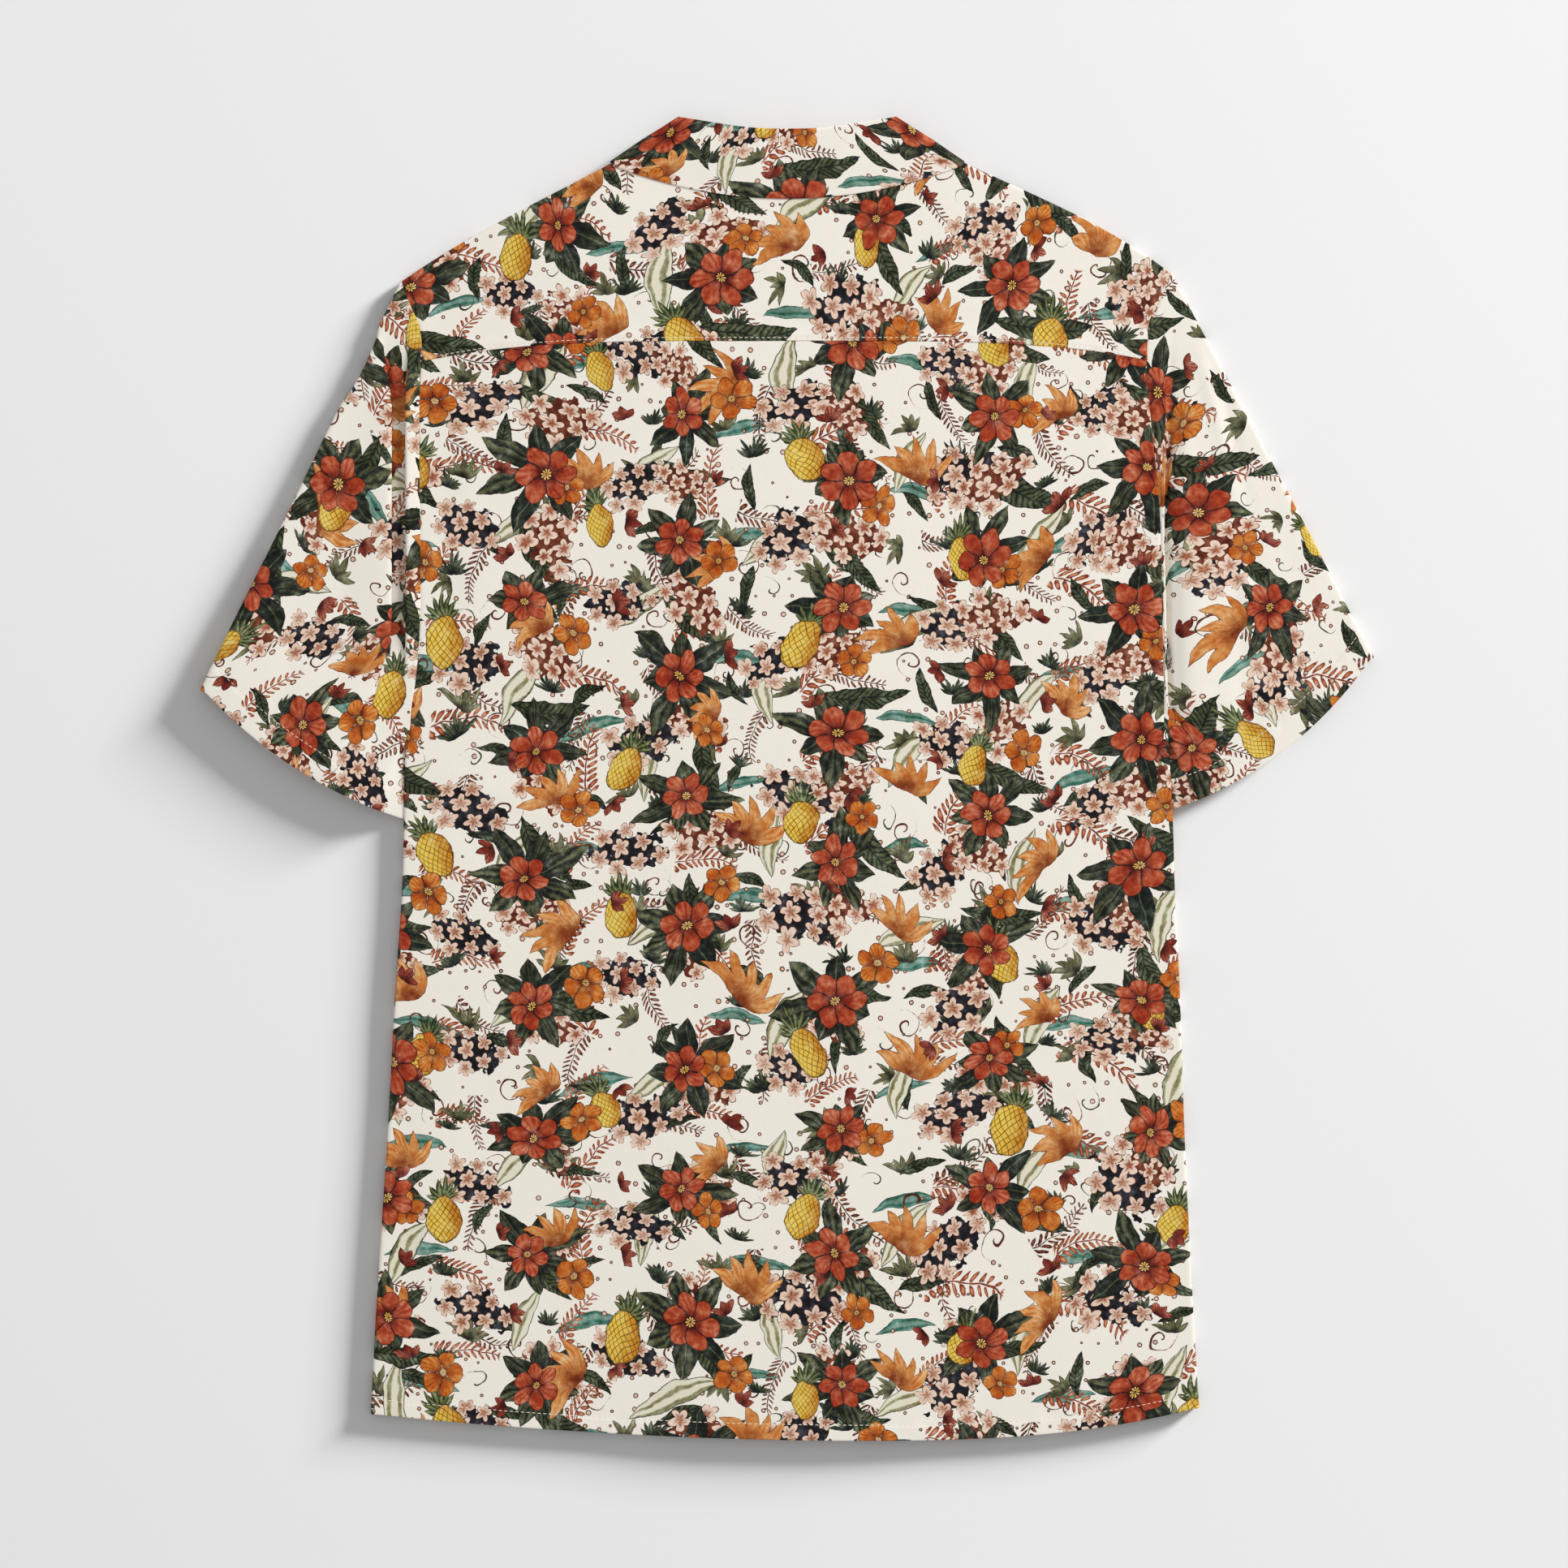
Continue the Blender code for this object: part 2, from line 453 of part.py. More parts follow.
def sleeve_grid(side):
    """Rings from armhole to hem, each along the upper layer, round the outer fold and back below."""
    values = SIDES[side]
    seam = yoke_seam_y(YOKE_SEAM_END)
    _, body_y = body_edge(side, seam - SEAM_GAP / 2, values["hem_corner_y"])
    body_y = body_y[UNDERARM_ROW + 1:]
    tip = np.array(values["shoulder_tip"])
    yoke_y = seam + SEAM_GAP / 2 + (tip[1] - seam - SEAM_GAP / 2) * YOKE_ROWS
    upper_y = np.concatenate([body_y, yoke_y[1:-1]])
    upper = np.vstack([np.column_stack([armhole_x(side, upper_y), upper_y]), tip])
    seam_end = tip - shoulder_normal(side) * YOKE_RETURN
    seam_middle = (tip + seam_end) / 2
    lower_y = body_y[:-1]
    lower = np.vstack([np.column_stack([armhole_x(side, lower_y), lower_y]), seam_end, seam_middle, tip])

    outer_radius = (CUFF_Z - LOW) / 2
    inner_radius = (INNER_Z - LOW) / 2
    sleeve_tip = np.array(values["sleeve_tip"])
    edge = unit(sleeve_tip - tip)
    edge_normal = np.array([-edge[1], edge[0]])
    cuff_outer = sleeve_tip - edge_normal * (outer_radius + LOW)
    inner_y = values["sleeve_inner_y"]
    inset = BODY_GAP + LOW + inner_radius
    cuff_inner = np.array([side_x(side, inner_y) + inset, inner_y])
    start = np.array([side_x(side, UNDERARM_Y), UNDERARM_Y + CROTCH_RISE])
    chord = cuff_outer - cuff_inner
    bulge = unit(np.array([chord[1], -chord[0]])) * values["cuff_bulge"]

    layers = []
    for armhole in (upper, lower):
        tangent = unit(np.gradient(armhole, axis=0))
        outward = np.column_stack([tangent[:, 1], -tangent[:, 0]])
        root = np.vstack([start, armhole + outward * SEAM_GAP])
        steps = np.append(0, np.cumsum(np.hypot(*np.diff(root, axis=0).T)))
        share = np.sqrt(steps / steps[-1])
        cuff = cuff_inner + chord * share[:, None] + bulge * (4 * share * (1 - share))[:, None]
        length = np.hypot(*(cuff - root).T)
        heading = unit(cuff - root)
        sideways = np.maximum(np.abs(heading[:, 0]), LEAST_HEADING)
        near = np.minimum(np.outer(SLEEVE_NEAR, 1 / sideways), np.outer(SLEEVE_LEAST, length))
        near[:, 0] = CROTCH_FAN
        far = np.array([near[-1] + (length - near[-1]) * f for f in SLEEVE_FAR])
        reach = np.vstack([near, far])
        plan = root + heading * reach[..., None]
        clear = inset * smooth(plan[:, 0, 1], start[1], UNDERARM_Y + SEAM_GAP)
        beside = side_x(side, plan[:, 0, 1]) + clear
        plan[:, 0, 0] = np.maximum(plan[:, 0, 0], beside)
        layers.append((plan, reach / length, share))
    (top, along, share), (bottom, _, _) = layers
    height = sleeve_upper_z(side, top[..., 0], top[..., 1], share, along)
    height[0] = TOP
    upper_layer = np.dstack([top, height])
    lower_layer = np.dstack([bottom, np.full(bottom.shape[:2], LOW)])

    rings = len(height)
    turn = np.clip(np.arange(rings) / OUTER_TURN_RINGS, 0, 1)[:, None]
    outer_normal = unit(shoulder_normal(side) * (1 - turn) + edge_normal * turn)
    inner_normal = np.tile((-1.0, 0.0), (rings, 1))
    arcs = []
    for column, normal, order in ((-1, outer_normal, 1), (0, inner_normal, -1)):
        high = upper_layer[:, column]
        radius = (high[:, 2] - LOW) / 2
        arc = []
        for angle in SIDE_ARC[1:-1]:
            reach = np.minimum(radius, inner_radius) if column == 0 else radius
            spot = high[:, :2] + (reach * np.cos(angle))[:, None] * normal
            arc.append(np.column_stack([spot, LOW + radius * (1 + np.sin(angle))]))
        arcs.append(np.stack(arc[::order], axis=1))
    middle = np.concatenate([upper_layer, arcs[0], lower_layer[:, ::-1], arcs[1]], axis=1)
    middle[..., 0] *= values["sign"]
    return middle


# Sections round one half of the collar: out along the top, round the side fold, on underneath.
COLLAR_ON_TOP = np.array([0, 0.22, 0.45, 0.66, 0.85, 1])
COLLAR_TURN = np.linspace(0, np.pi, 9)[1:-1]
COLLAR_BELOW = np.linspace(0, 1, 6)[1:]
# And the points along a section: up the stand, round the fold and down the fall.
STAND_SHARES = (0, 0.5, 1)
FOLD_ANGLES = np.radians([-45, 0, 45])
LEAF_SHARES = (0, 0.33, 0.67, 1)


def collar_grid():
    """Sections round the neck, each from the seam up the stand, over the fold and down the fall."""
    turns = np.concatenate([0 * COLLAR_ON_TOP, COLLAR_TURN, np.full(len(COLLAR_BELOW), np.pi)])
    corner = {"seam": NECK_POINT, "fold": COLLAR_FOLD_CORNER, "edge": COLLAR_EDGE_CORNER}
    middle_y = {"seam": BACK_NECK_Y + SEAM_GAP, "fold": FOLD_MIDDLE_Y, "edge": LEAF_MIDDLE_Y}
    lines = {}
    for name, (x, y) in corner.items():
        rise = (y - middle_y[name]) * COLLAR_ON_TOP ** 2
        top = np.column_stack([x * COLLAR_ON_TOP, middle_y[name] + rise])
        turned = np.tile((x, y), (len(COLLAR_TURN), 1))
        lines[name] = np.vstack([top, turned, bow(COLLAR_UNDER[name], COLLAR_BELOW)])
    fold_way = unit(lines["fold"] - lines["edge"])
    seam_way = unit(lines["fold"] - lines["seam"])
    lines["seam"] = lines["seam"] + seam_way * (2 * SEAM_GAP)
    edge_line = unit(np.array(COLLAR_EDGE_CORNER) - np.array(COLLAR_FOLD_CORNER))
    silhouette = np.array([-edge_line[1], edge_line[0]])
    between = (LEAF_RADIUS - STAND_RADIUS) / 2
    sections = []
    for share in STAND_SHARES:
        plan = lines["seam"] + (lines["fold"] - lines["seam"]) * share
        sections.append((plan, np.full(len(turns), STAND_RADIUS)))
    for angle in FOLD_ANGLES:
        plan = lines["fold"] + fold_way * between * np.cos(angle)
        sections.append((plan, np.full(len(turns), STAND_RADIUS + between * (1 + np.sin(angle)))))
    for share in LEAF_SHARES:
        plan = lines["fold"] + (lines["edge"] - lines["fold"]) * share
        sections.append((plan, np.full(len(turns), LEAF_RADIUS)))
    columns = []
    for plan, radius in sections:
        spot = plan + (radius * np.sin(turns))[:, None] * silhouette
        columns.append(np.column_stack([spot, COLLAR_CENTRE_Z + radius * np.cos(turns)]))
    right = np.stack(columns, axis=1)
    return np.concatenate([right[:0:-1] * (-1, 1, 1), right])


def button_solid(y):
    """A turned button, face down, in the middle of the placket: a rimmed disc with a dished face."""
    angles = np.arange(BUTTON_SIDES) * 2 * np.pi / BUTTON_SIDES
    inner = BUTTON_PROFILE[1:-1]
    ring = np.stack([
        np.outer(np.cos(angles), inner[:, 0]), np.outer(np.sin(angles), inner[:, 0]) + y,
        np.tile(inner[:, 1], (BUTTON_SIDES, 1)),
    ], axis=2)
    middles = [(0, y, BUTTON_PROFILE[end, 1]) for end in (0, -1)]
    points = np.vstack([ring.reshape(-1, 3), *middles])
    count = len(inner)
    faces = []
    for a in range(0, BUTTON_SIDES * count, count):
        b = (a + count) % (BUTTON_SIDES * count)
        faces += [(a + k, a + k + 1, b + k + 1, b + k) for k in range(count - 1)]
        faces.append((a, b, BUTTON_SIDES * count))
        faces.append((b + count - 1, a + count - 1, BUTTON_SIDES * count + 1))
    return points, faces


def main():
    for obj in list(bpy.data.objects):
        bpy.data.objects.remove(obj)
    cloth = finish("printed_cotton", (0.78, 0.62, 0.47), 0.85)
    shell = finish("button_shell", (0.85, 0.80, 0.70), 0.3)
    make_object("back", *wall(*back_grid()), cloth)
    make_object("yoke", *wall(*yoke_grid()), cloth)
    make_object("collar", *wall(collar_grid()), cloth)
    for side in SIDES:
        make_object("front_" + side, *wall(*front_grid(side)), cloth)
        make_object("sleeve_" + side, *wall(sleeve_grid(side), ring=True), cloth)
    for number, y in enumerate(BUTTON_YS, start=1):
        make_object(f"button_{number}", *button_solid(y), shell)


main()
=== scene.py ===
"""Looks of a short-sleeved camp-collar shirt that lies flat with its back up.

Each cut piece is a thin shell of cloth on its solid's form, with the main creases laid in one by
one.
A print of flowers and leaves is worked out in the material from each piece's own cloth coordinates.
Lengths in this file are millimetres until make_mesh turns them into metres. +X is the wearer's
right, +Y runs from the hem to the collar, +Z is up, and the shirt lies on z = 0.
"""

import logging
import math
from collections.abc import Sequence
from dataclasses import dataclass
from enum import Enum

import bmesh
import bpy
import numpy as np
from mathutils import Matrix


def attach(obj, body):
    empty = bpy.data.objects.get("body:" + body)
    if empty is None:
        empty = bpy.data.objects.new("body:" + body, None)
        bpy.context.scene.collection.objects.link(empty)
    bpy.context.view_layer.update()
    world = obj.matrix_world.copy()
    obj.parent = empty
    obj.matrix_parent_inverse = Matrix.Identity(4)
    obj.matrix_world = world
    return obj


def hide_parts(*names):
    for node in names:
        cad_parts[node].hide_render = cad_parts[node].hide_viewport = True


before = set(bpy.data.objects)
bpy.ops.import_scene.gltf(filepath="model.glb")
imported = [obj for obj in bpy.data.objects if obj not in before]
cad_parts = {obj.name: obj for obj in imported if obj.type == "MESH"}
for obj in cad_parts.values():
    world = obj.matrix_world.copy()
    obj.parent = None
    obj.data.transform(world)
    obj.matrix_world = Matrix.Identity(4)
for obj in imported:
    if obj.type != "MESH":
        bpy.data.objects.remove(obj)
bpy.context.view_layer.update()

log = logging.getLogger("shirt")
Array = np.ndarray
Arrays = tuple[np.ndarray, ...]
Pair = tuple[float, float]
Triple = tuple[float, float, float]
Colour = Triple
Row = tuple[float, ...]
Crease = Row  # X and Y of its start and its end, width, depth and sag
Material = bpy.types.Material
Object = bpy.types.Object
Socket = bpy.types.NodeSocket

METRES = 0.001
TINY = 1e-6
CLOTH_MAP = "cloth"  # the UV map that holds a point's place on its uncut cloth, in metres
REVERSE = "reverse"  # attribute: 0 on the printed face, 1 on the cloth's other face


# ---- curves and creases


def smooth(value: Array, start: float, end: float) -> Array:
    """0 at start, 1 at end, with level ends: t squared times (3 - 2 t)."""
    t = np.clip((np.asarray(value, float) - start) / (end - start), 0, 1)
    return t * t * (3 - 2 * t)


def through(knots: Sequence[float], values: Array, at: Array) -> Array:
    """Cubic curve through a table's rows, with each knot's slope from its neighbours.

    Args:
        knots: where the rows stand, rising.
        values: what they hold, a number or a point for each.
        at: where the curve is read.

    Returns:
        The values at those places.
    """
    knots, values, at = np.asarray(knots, float), np.asarray(values, float), np.asarray(at, float)
    slopes = np.gradient(values, knots, axis=0)
    k = np.clip(np.searchsorted(knots, at) - 1, 0, len(knots) - 2)
    step = knots[k + 1] - knots[k]
    t = np.clip((at - knots[k]) / step, 0, 1)
    if values.ndim > 1:
        step, t = step[..., None], t[..., None]
    return (
        values[k] * (1 + 2 * t) * (1 - t) ** 2
        + values[k + 1] * (3 - 2 * t) * t * t
        + step * (slopes[k] * t * (1 - t) ** 2 - slopes[k + 1] * t * t * (1 - t))
    )


def line(start: Pair, end: Pair, at: Array) -> Array:
    """Points on the straight way from start to end, at shares of it."""
    return np.asarray(start, float) + np.subtract(end, start) * at[:, None]


def bow(points: Sequence[Pair], at: Array) -> Array:
    """Quadratic arc through three points, read at the fractions 0 to 1.

    Args:
        points: its start, middle and end.
        at: the fractions.

    Returns:
        The points.
    """
    start, middle, end = (np.array(p, float) for p in points)
    at = at[:, None]
    return start * (1 - at) * (1 - 2 * at) + middle * 4 * at * (1 - at) + end * at * (2 * at - 1)


def unit(vectors: Array) -> Array:
    """Vectors scaled to length one."""
    return vectors / np.maximum(np.linalg.norm(vectors, axis=-1, keepdims=True), 1e-9)


def beside(start: Pair, end: Pair) -> Array:
    """Direction in plan to the left of the way from start to end."""
    run = np.subtract(end, start)
    return np.array([-run[1], run[0]]) / np.hypot(*run)


def travelled(points: Array) -> Array:
    """Distance along a line at each of its points."""
    return np.append(0, np.cumsum(np.linalg.norm(np.diff(points, axis=0), axis=1)))


def circle(sides: int) -> Array:
    """Points round a circle of radius one."""
    angles = np.arange(sides) * math.tau / sides
    return np.column_stack([np.cos(angles), np.sin(angles)])


def steps(*stretches: Triple) -> Array:
    """Rising values over stretches that follow each other, each (from, to, spacing)."""
    rows = [np.linspace(a, b, max(2, round(abs(b - a) / s) + 1))[:-1] for a, b, s in stretches]
    return np.append(np.concatenate(rows), stretches[-1][1])


def shares(*stretches: Triple) -> Array:
    """The same values as shares of the last one."""
    return steps(*stretches) / stretches[-1][1]


def creased(creases: Sequence[Crease], x: Array, y: Array) -> Array:
    """Height of the creases at points in plan: soft ridges, or valleys where a depth is below zero.

    Each is a Gaussian of the distance from a bowed line, and tapers to nothing at both of its ends.

    Args:
        creases: the creases.
        x: the points' X.
        y: their Y.

    Returns:
        The sum of the creases' heights.
    """
    height = np.zeros(np.shape(x))
    for start_x, start_y, end_x, end_y, width, depth, sag in creases:
        run_x, run_y = end_x - start_x, end_y - start_y
        length = np.hypot(run_x, run_y)
        ahead = ((x - start_x) * run_x + (y - start_y) * run_y) / length ** 2
        aside = ((y - start_y) * run_x - (x - start_x) * run_y) / length
        inside = np.clip(ahead, 0, 1)
        aside = aside - sag * 4 * inside * (1 - inside)
        beyond = np.clip(np.abs(ahead - 0.5) - 0.5, 0, None) * length
        taper = 0.25 + 0.75 * np.sin(np.pi * inside) ** 0.8
        height += depth * taper * np.exp(-(aside ** 2 + beyond ** 2) / width ** 2)
    return height


# ---- the cut


class Hand(Enum):
    """The wearer's left and right, with the sign of X there."""

    LEFT = -1
    RIGHT = 1


@dataclass(frozen=True)
class Half:
    """One side of the shirt as it lies, measured outwards from its middle."""

    shoulder_tip: Pair
    shoulder_bulge: float
    sleeve_tip: Pair
    sleeve_inner_y: float
    cuff_bulge: float
    hem_corner_y: float
    hem_power: float
    side_folds: Row
    armholes: Row


@dataclass(frozen=True)
class Cut:
    """Outline and layers of the whole shirt, the same as its solids'."""

    solid: float = 1.2  # wall of the solids
    cloth: float = 0.5  # wall of the cloth that shows
    fold: float = 2.2  # radius of the body's folds, at the solids' middle
    neck_rise: float = 2.1
    neck_middle: Pair = (0, 345)
    neck_reach: Pair = (235, 92)
    crown: float = 1.5
    crown_reach: Pair = (120, 24)
    lap_fade_y: Pair = (248, 220)
    underarm_y: float = 25
    yoke_seam: Triple = (256, 12, 214)
    neck_point: Pair = (84.7, 365.8)
    back_neck_y: float = 353
    yoke_return: float = 18
    hem_low: Pair = (50, -386)
    front_short: float = 4
    side_rows: Row = (-372, -304, -209, -114, -66, -31, 25)
    armhole_rows: Row = (
        25, 38, 56, 82, 125, 160, 190, 218, 241, 256, 265, 277, 292)
    left: Half = Half(
        (224.7, 287.4), 3, (342.5, 52), -23, 8.5, -370.5, 2,
        (243.5, 239.9, 233.7, 228.5, 225.2, 224.2, 223.3),
        (220.5, 220.1, 217.6, 215.2, 214.6, 215, 215.2, 215.2, 214.2, 214, 215.6, 221, 226))
    right: Half = Half(
        (223.7, 292), 5, (342.5, 71), -17.5, 11.5, -366.5, 2.6,
        (241, 237, 232.3, 229, 226.6, 225.6, 222.8),
        (220, 220.3, 220, 219.4, 218.6, 217.4, 214.6, 211.9, 210.2, 211, 213.3, 217.6, 223.7))

    @property
    def low(self) -> float:
        """Middle of a solid's wall that lies on the table."""
        return self.solid / 2

    @property
    def top(self) -> float:
        """Middle of the back's solid where nothing lifts it."""
        return self.low + 2 * self.fold

    @property
    def lift(self) -> float:
        """From the middle of a solid's wall out to the middle of the cloth on its face."""
        return (self.solid - self.cloth) / 2

    @property
    def table(self) -> float:
        """Middle of the cloth that lies on the table."""
        return self.low - self.lift

    @property
    def radius(self) -> float:
        """Radius of the body's folds, at the cloth's middle."""
        return self.fold + self.lift

    @property
    def yoke_end_y(self) -> float:
        """Height of the yoke seam at the armholes."""
        return self.yoke_seam_y(self.yoke_seam[2])

    def half(self, hand: Hand) -> Half:
        """That side's measures."""
        return self.left if hand is Hand.LEFT else self.right

    def neck_lift(self, x: Array, y: Array) -> Array:
        """How far the collar underneath lifts the cloth, full within a circle round the neck."""
        away = np.hypot(x - self.neck_middle[0], y - self.neck_middle[1])
        return self.neck_rise * smooth(away, *self.neck_reach)

    def top_z(self, x: Array, y: Array) -> Array:
        """Middle of the upper cloth: level, lifted along the placket and round the neck."""
        crown = self.crown * smooth(np.abs(x), *self.crown_reach)
        return self.top + self.lift + np.maximum(crown, self.neck_lift(x, y))

    def under_z(self, x: Array, y: Array, lap_rise: float = 0.0) -> Array:
        """Middle of the lower cloth: on the table, lifted over the buttons and round the neck."""
        placket = lap_rise * smooth(np.abs(x), *self.crown_reach) * smooth(y, *self.lap_fade_y)
        return self.table + np.maximum(placket, self.neck_lift(x, y))

    def armhole_x(self, hand: Hand, y: Array) -> Array:
        """Distance of an armhole's seam from the middle."""
        return through(self.armhole_rows, self.half(hand).armholes, y)

    def side_x(self, hand: Hand, y: Array) -> Array:
        """Half width of the body at its side fold."""
        return through(self.side_rows, self.half(hand).side_folds, y)

    def yoke_seam_y(self, x: Array) -> Array:
        """Height of the yoke seam, level in the middle and lower at the armholes."""
        middle, drop, end = self.yoke_seam
        return middle - drop * (np.abs(x) / end) ** 4

    def hem_y(self, x: Array) -> Array:
        """Height of the back's hem, a shallow curve with its lowest point right of the middle.

        Args:
            x: places across the shirt.

        Returns:
            The heights.
        """
        low_x, low_y = self.hem_low
        y = low_y
        for half, sign in ((self.left, -1), (self.right, 1)):
            out = np.clip((x - low_x) / (sign * half.side_folds[0] - low_x), 0, 1)
            y = y + (half.hem_corner_y - low_y) * out ** half.hem_power
        return y

    def shoulder_y(self, hand: Hand, out: Array) -> Array:
        """Height of the shoulder fold's centre line, straight but for a cubic bump.

        Args:
            hand: the side.
            out: distances from the middle.

        Returns:
            The heights.
        """
        half = self.half(hand)
        run = half.shoulder_tip[0] - self.neck_point[0]
        t = np.clip((out - self.neck_point[0]) / run, 0, 1)
        rise = half.shoulder_tip[1] - self.neck_point[1]
        return self.neck_point[1] + rise * t + half.shoulder_bulge * 27 / 4 * t * t * (1 - t)

    def shoulder_normal(self, hand: Hand) -> Array:
        """Direction in plan straight out over the shoulder fold, with X outwards."""
        return beside(self.neck_point, self.half(hand).shoulder_tip)

    def sleeve_normal(self, hand: Hand) -> Array:
        """Direction in plan straight out over the sleeve's outer fold, with X outwards."""
        return beside(self.half(hand).shoulder_tip, self.half(hand).sleeve_tip)


CUT = Cut()


# ---- meshes


def make_mesh(name: str, points: Array, faces: Sequence[Array], material: Material | None = None,
              cloth_at: Array | None = None, reverse: Array | None = None) -> Object:
    """Mesh object of one closed shell in metres, its faces pointing outwards.

    Args:
        name: the object's name.
        points: its points in millimetres.
        faces: arrays of faces, one array for each number of corners.
        material: its material.
        cloth_at: each point's place on its cloth in millimetres, for the UV map.
        reverse: 0 or 1 for each point, the face of the cloth that it is on.

    Returns:
        The object, linked into the scene.
    """
    mesh = bpy.data.meshes.new(name)
    corners = [face for array in faces for face in array.tolist()]
    mesh.from_pydata((points * METRES).tolist(), [], corners)
    shell = bmesh.new()
    shell.from_mesh(mesh)
    bmesh.ops.recalc_face_normals(shell, faces=shell.faces)
    shell.to_mesh(mesh)
    shell.free()
    if cloth_at is not None:
        used = np.empty(len(mesh.loops), np.int32)
        mesh.loops.foreach_get("vertex_index", used)
        layer = mesh.uv_layers.new(name=CLOTH_MAP)
        layer.data.foreach_set("uv", (cloth_at[used] * METRES).astype(np.float32).ravel())
    if reverse is not None:
        layer = mesh.attributes.new(REVERSE, "FLOAT", "POINT")
        layer.data.foreach_set("value", reverse.astype(np.float32))
    mesh.shade_smooth()
    mesh.set_sharp_from_angle(angle=math.radians(40.0))
    mesh.validate()
    if material:
        mesh.materials.append(material)
    low, high = points.min(axis=0), points.max(axis=0)
    log.info("%s: %d faces, %.1f x %.1f mm, from %.2f to %.2f above the table",
             name, len(corners), *(high - low)[:2], low[2], high[2])
    return linked(name, mesh)


def linked(name: str, data: bpy.types.ID) -> Object:
    """Object of a mesh, a light or a camera, linked into the scene.

    Args:
        name: its name.
        data: what it shows.

    Returns:
        The object.
    """
    obj = bpy.data.objects.new(name, data)
    bpy.context.scene.collection.objects.link(obj)
    return obj


def rods(rings: Array) -> tuple[Array, list[Array]]:
    """Closed rods through their rings: walls from each ring to the next, and a cap at each end.

    Args:
        rings: rods by rings by points round a ring by 3.

    Returns:
        The points, and the faces as make_mesh takes them.
    """
    count, length, sides = rings.shape[:3]
    i = np.arange(sides)
    j = (i + 1) % sides
    first = np.arange(count)[:, None] * (length * sides)
    starts = (first + np.arange(length - 1) * sides).reshape(-1, 1, 1)
    walls = np.stack([i, j, j + sides, i + sides], axis=1) + starts
    caps = [first + i[::-1], first + (length - 1) * sides + i]
    return rings.reshape(-1, 3), [walls.reshape(-1, 4), *caps]


@dataclass
class Cloth:
    """A grid of cloth about its middle surface, whose normals point to the printed face."""

    middle: Array  # rows by columns by 3, in millimetres
    at: Array  # rows by columns by 2, each point's place on the uncut cloth
    above: Array | None = None  # distances above the hem of the first rows
    cells: Array | None = None  # mask of the grid's cells that have cloth, if not all of them
    ring: bool = False  # whether the last column joins the first

    def flipped(self, rows: int, columns: int) -> "Cloth":
        """The same cloth with its rows or columns in the other order where the step is -1.

        Args:
            rows: 1 or -1.
            columns: 1 or -1.

        Returns:
            The cloth.
        """
        cells = None if self.cells is None else self.cells[::rows, ::columns]
        return Cloth(self.middle[::rows, ::columns], self.at[::rows, ::columns], self.above[::rows],
                     cells, self.ring)

    def normals(self) -> Array:
        """Unit normals: the slope across the grid crossed with the slope up it.

        Returns:
            A normal for each point.
        """
        padded = self.middle
        if self.ring:
            padded = np.concatenate([padded[:, -1:], padded, padded[:, :1]], axis=1)
        across = np.gradient(padded, axis=1)[:, 1:-1] if self.ring else np.gradient(padded, axis=1)
        return unit(np.cross(across, np.gradient(self.middle, axis=0)))

    def seam_line(self, depth: float) -> Arrays:
        """The row nearest to a distance above the hem, on the printed face, and its normals.

        Args:
            depth: the distance.

        Returns:
            The row's points and normals.
        """
        near = int(np.argmin(np.abs(self.above - depth)))
        up = self.normals()
        return (self.middle + up * CUT.cloth / 2)[near], up[near]

    def piece(self, node: str, cotton: Material, faced: bool = False,
              thickness: float | Array = CUT.cloth) -> Object:
        """Closed shell of this cloth, which stands for a node's solid.

        Its faces stand half the thickness from the middle surface, with a rim along open edges.

        Args:
            node: the name of the solid's node.
            cotton: the printed cloth.
            faced: whether the print shows on both faces, as where a facing is sewn behind.
            thickness: the shell's, everywhere or at each point of the grid.

        Returns:
            The piece.
        """
        rows, cols = self.middle.shape[:2]
        offset = self.normals() * np.broadcast_to(thickness, (rows, cols))[..., None] / 2
        points = np.concatenate([self.middle + offset, self.middle - offset]).reshape(-1, 3)
        i, j = np.nonzero(self.all_cells())
        k = (j + 1) % cols
        first, second = i * cols + j, i * cols + k
        corners = np.stack([first, second, second + cols, first + cols], axis=1)
        edges = np.concatenate([corners[:, [a, (a + 1) % 4]] for a in range(4)])
        inner = rows * cols
        alone = ~np.isin(edges[:, 1] * inner + edges[:, 0], edges[:, 0] * inner + edges[:, 1])
        rim = edges[alone]
        faces = np.concatenate([corners, corners[:, ::-1] + inner,
                                np.hstack([rim[:, ::-1], rim + inner])])
        used, index = np.unique(faces, return_inverse=True)
        places = np.tile(self.at.reshape(-1, 2), (2, 1))
        obj = make_mesh(f"{node}_cloth", points[used], [index.reshape(faces.shape)], cotton,
                        places[used], (used >= inner) * float(not faced))
        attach(obj, "root")
        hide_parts(node)
        return obj

    def all_cells(self) -> Array:
        """Mask of the cells, with all of them if none was given.

        Returns:
            The mask.
        """
        if self.cells is not None:
            return self.cells
        rows, cols = self.middle.shape[:2]
        return np.ones((rows - 1, cols if self.ring else cols - 1), bool)


# ---- hems and stitches


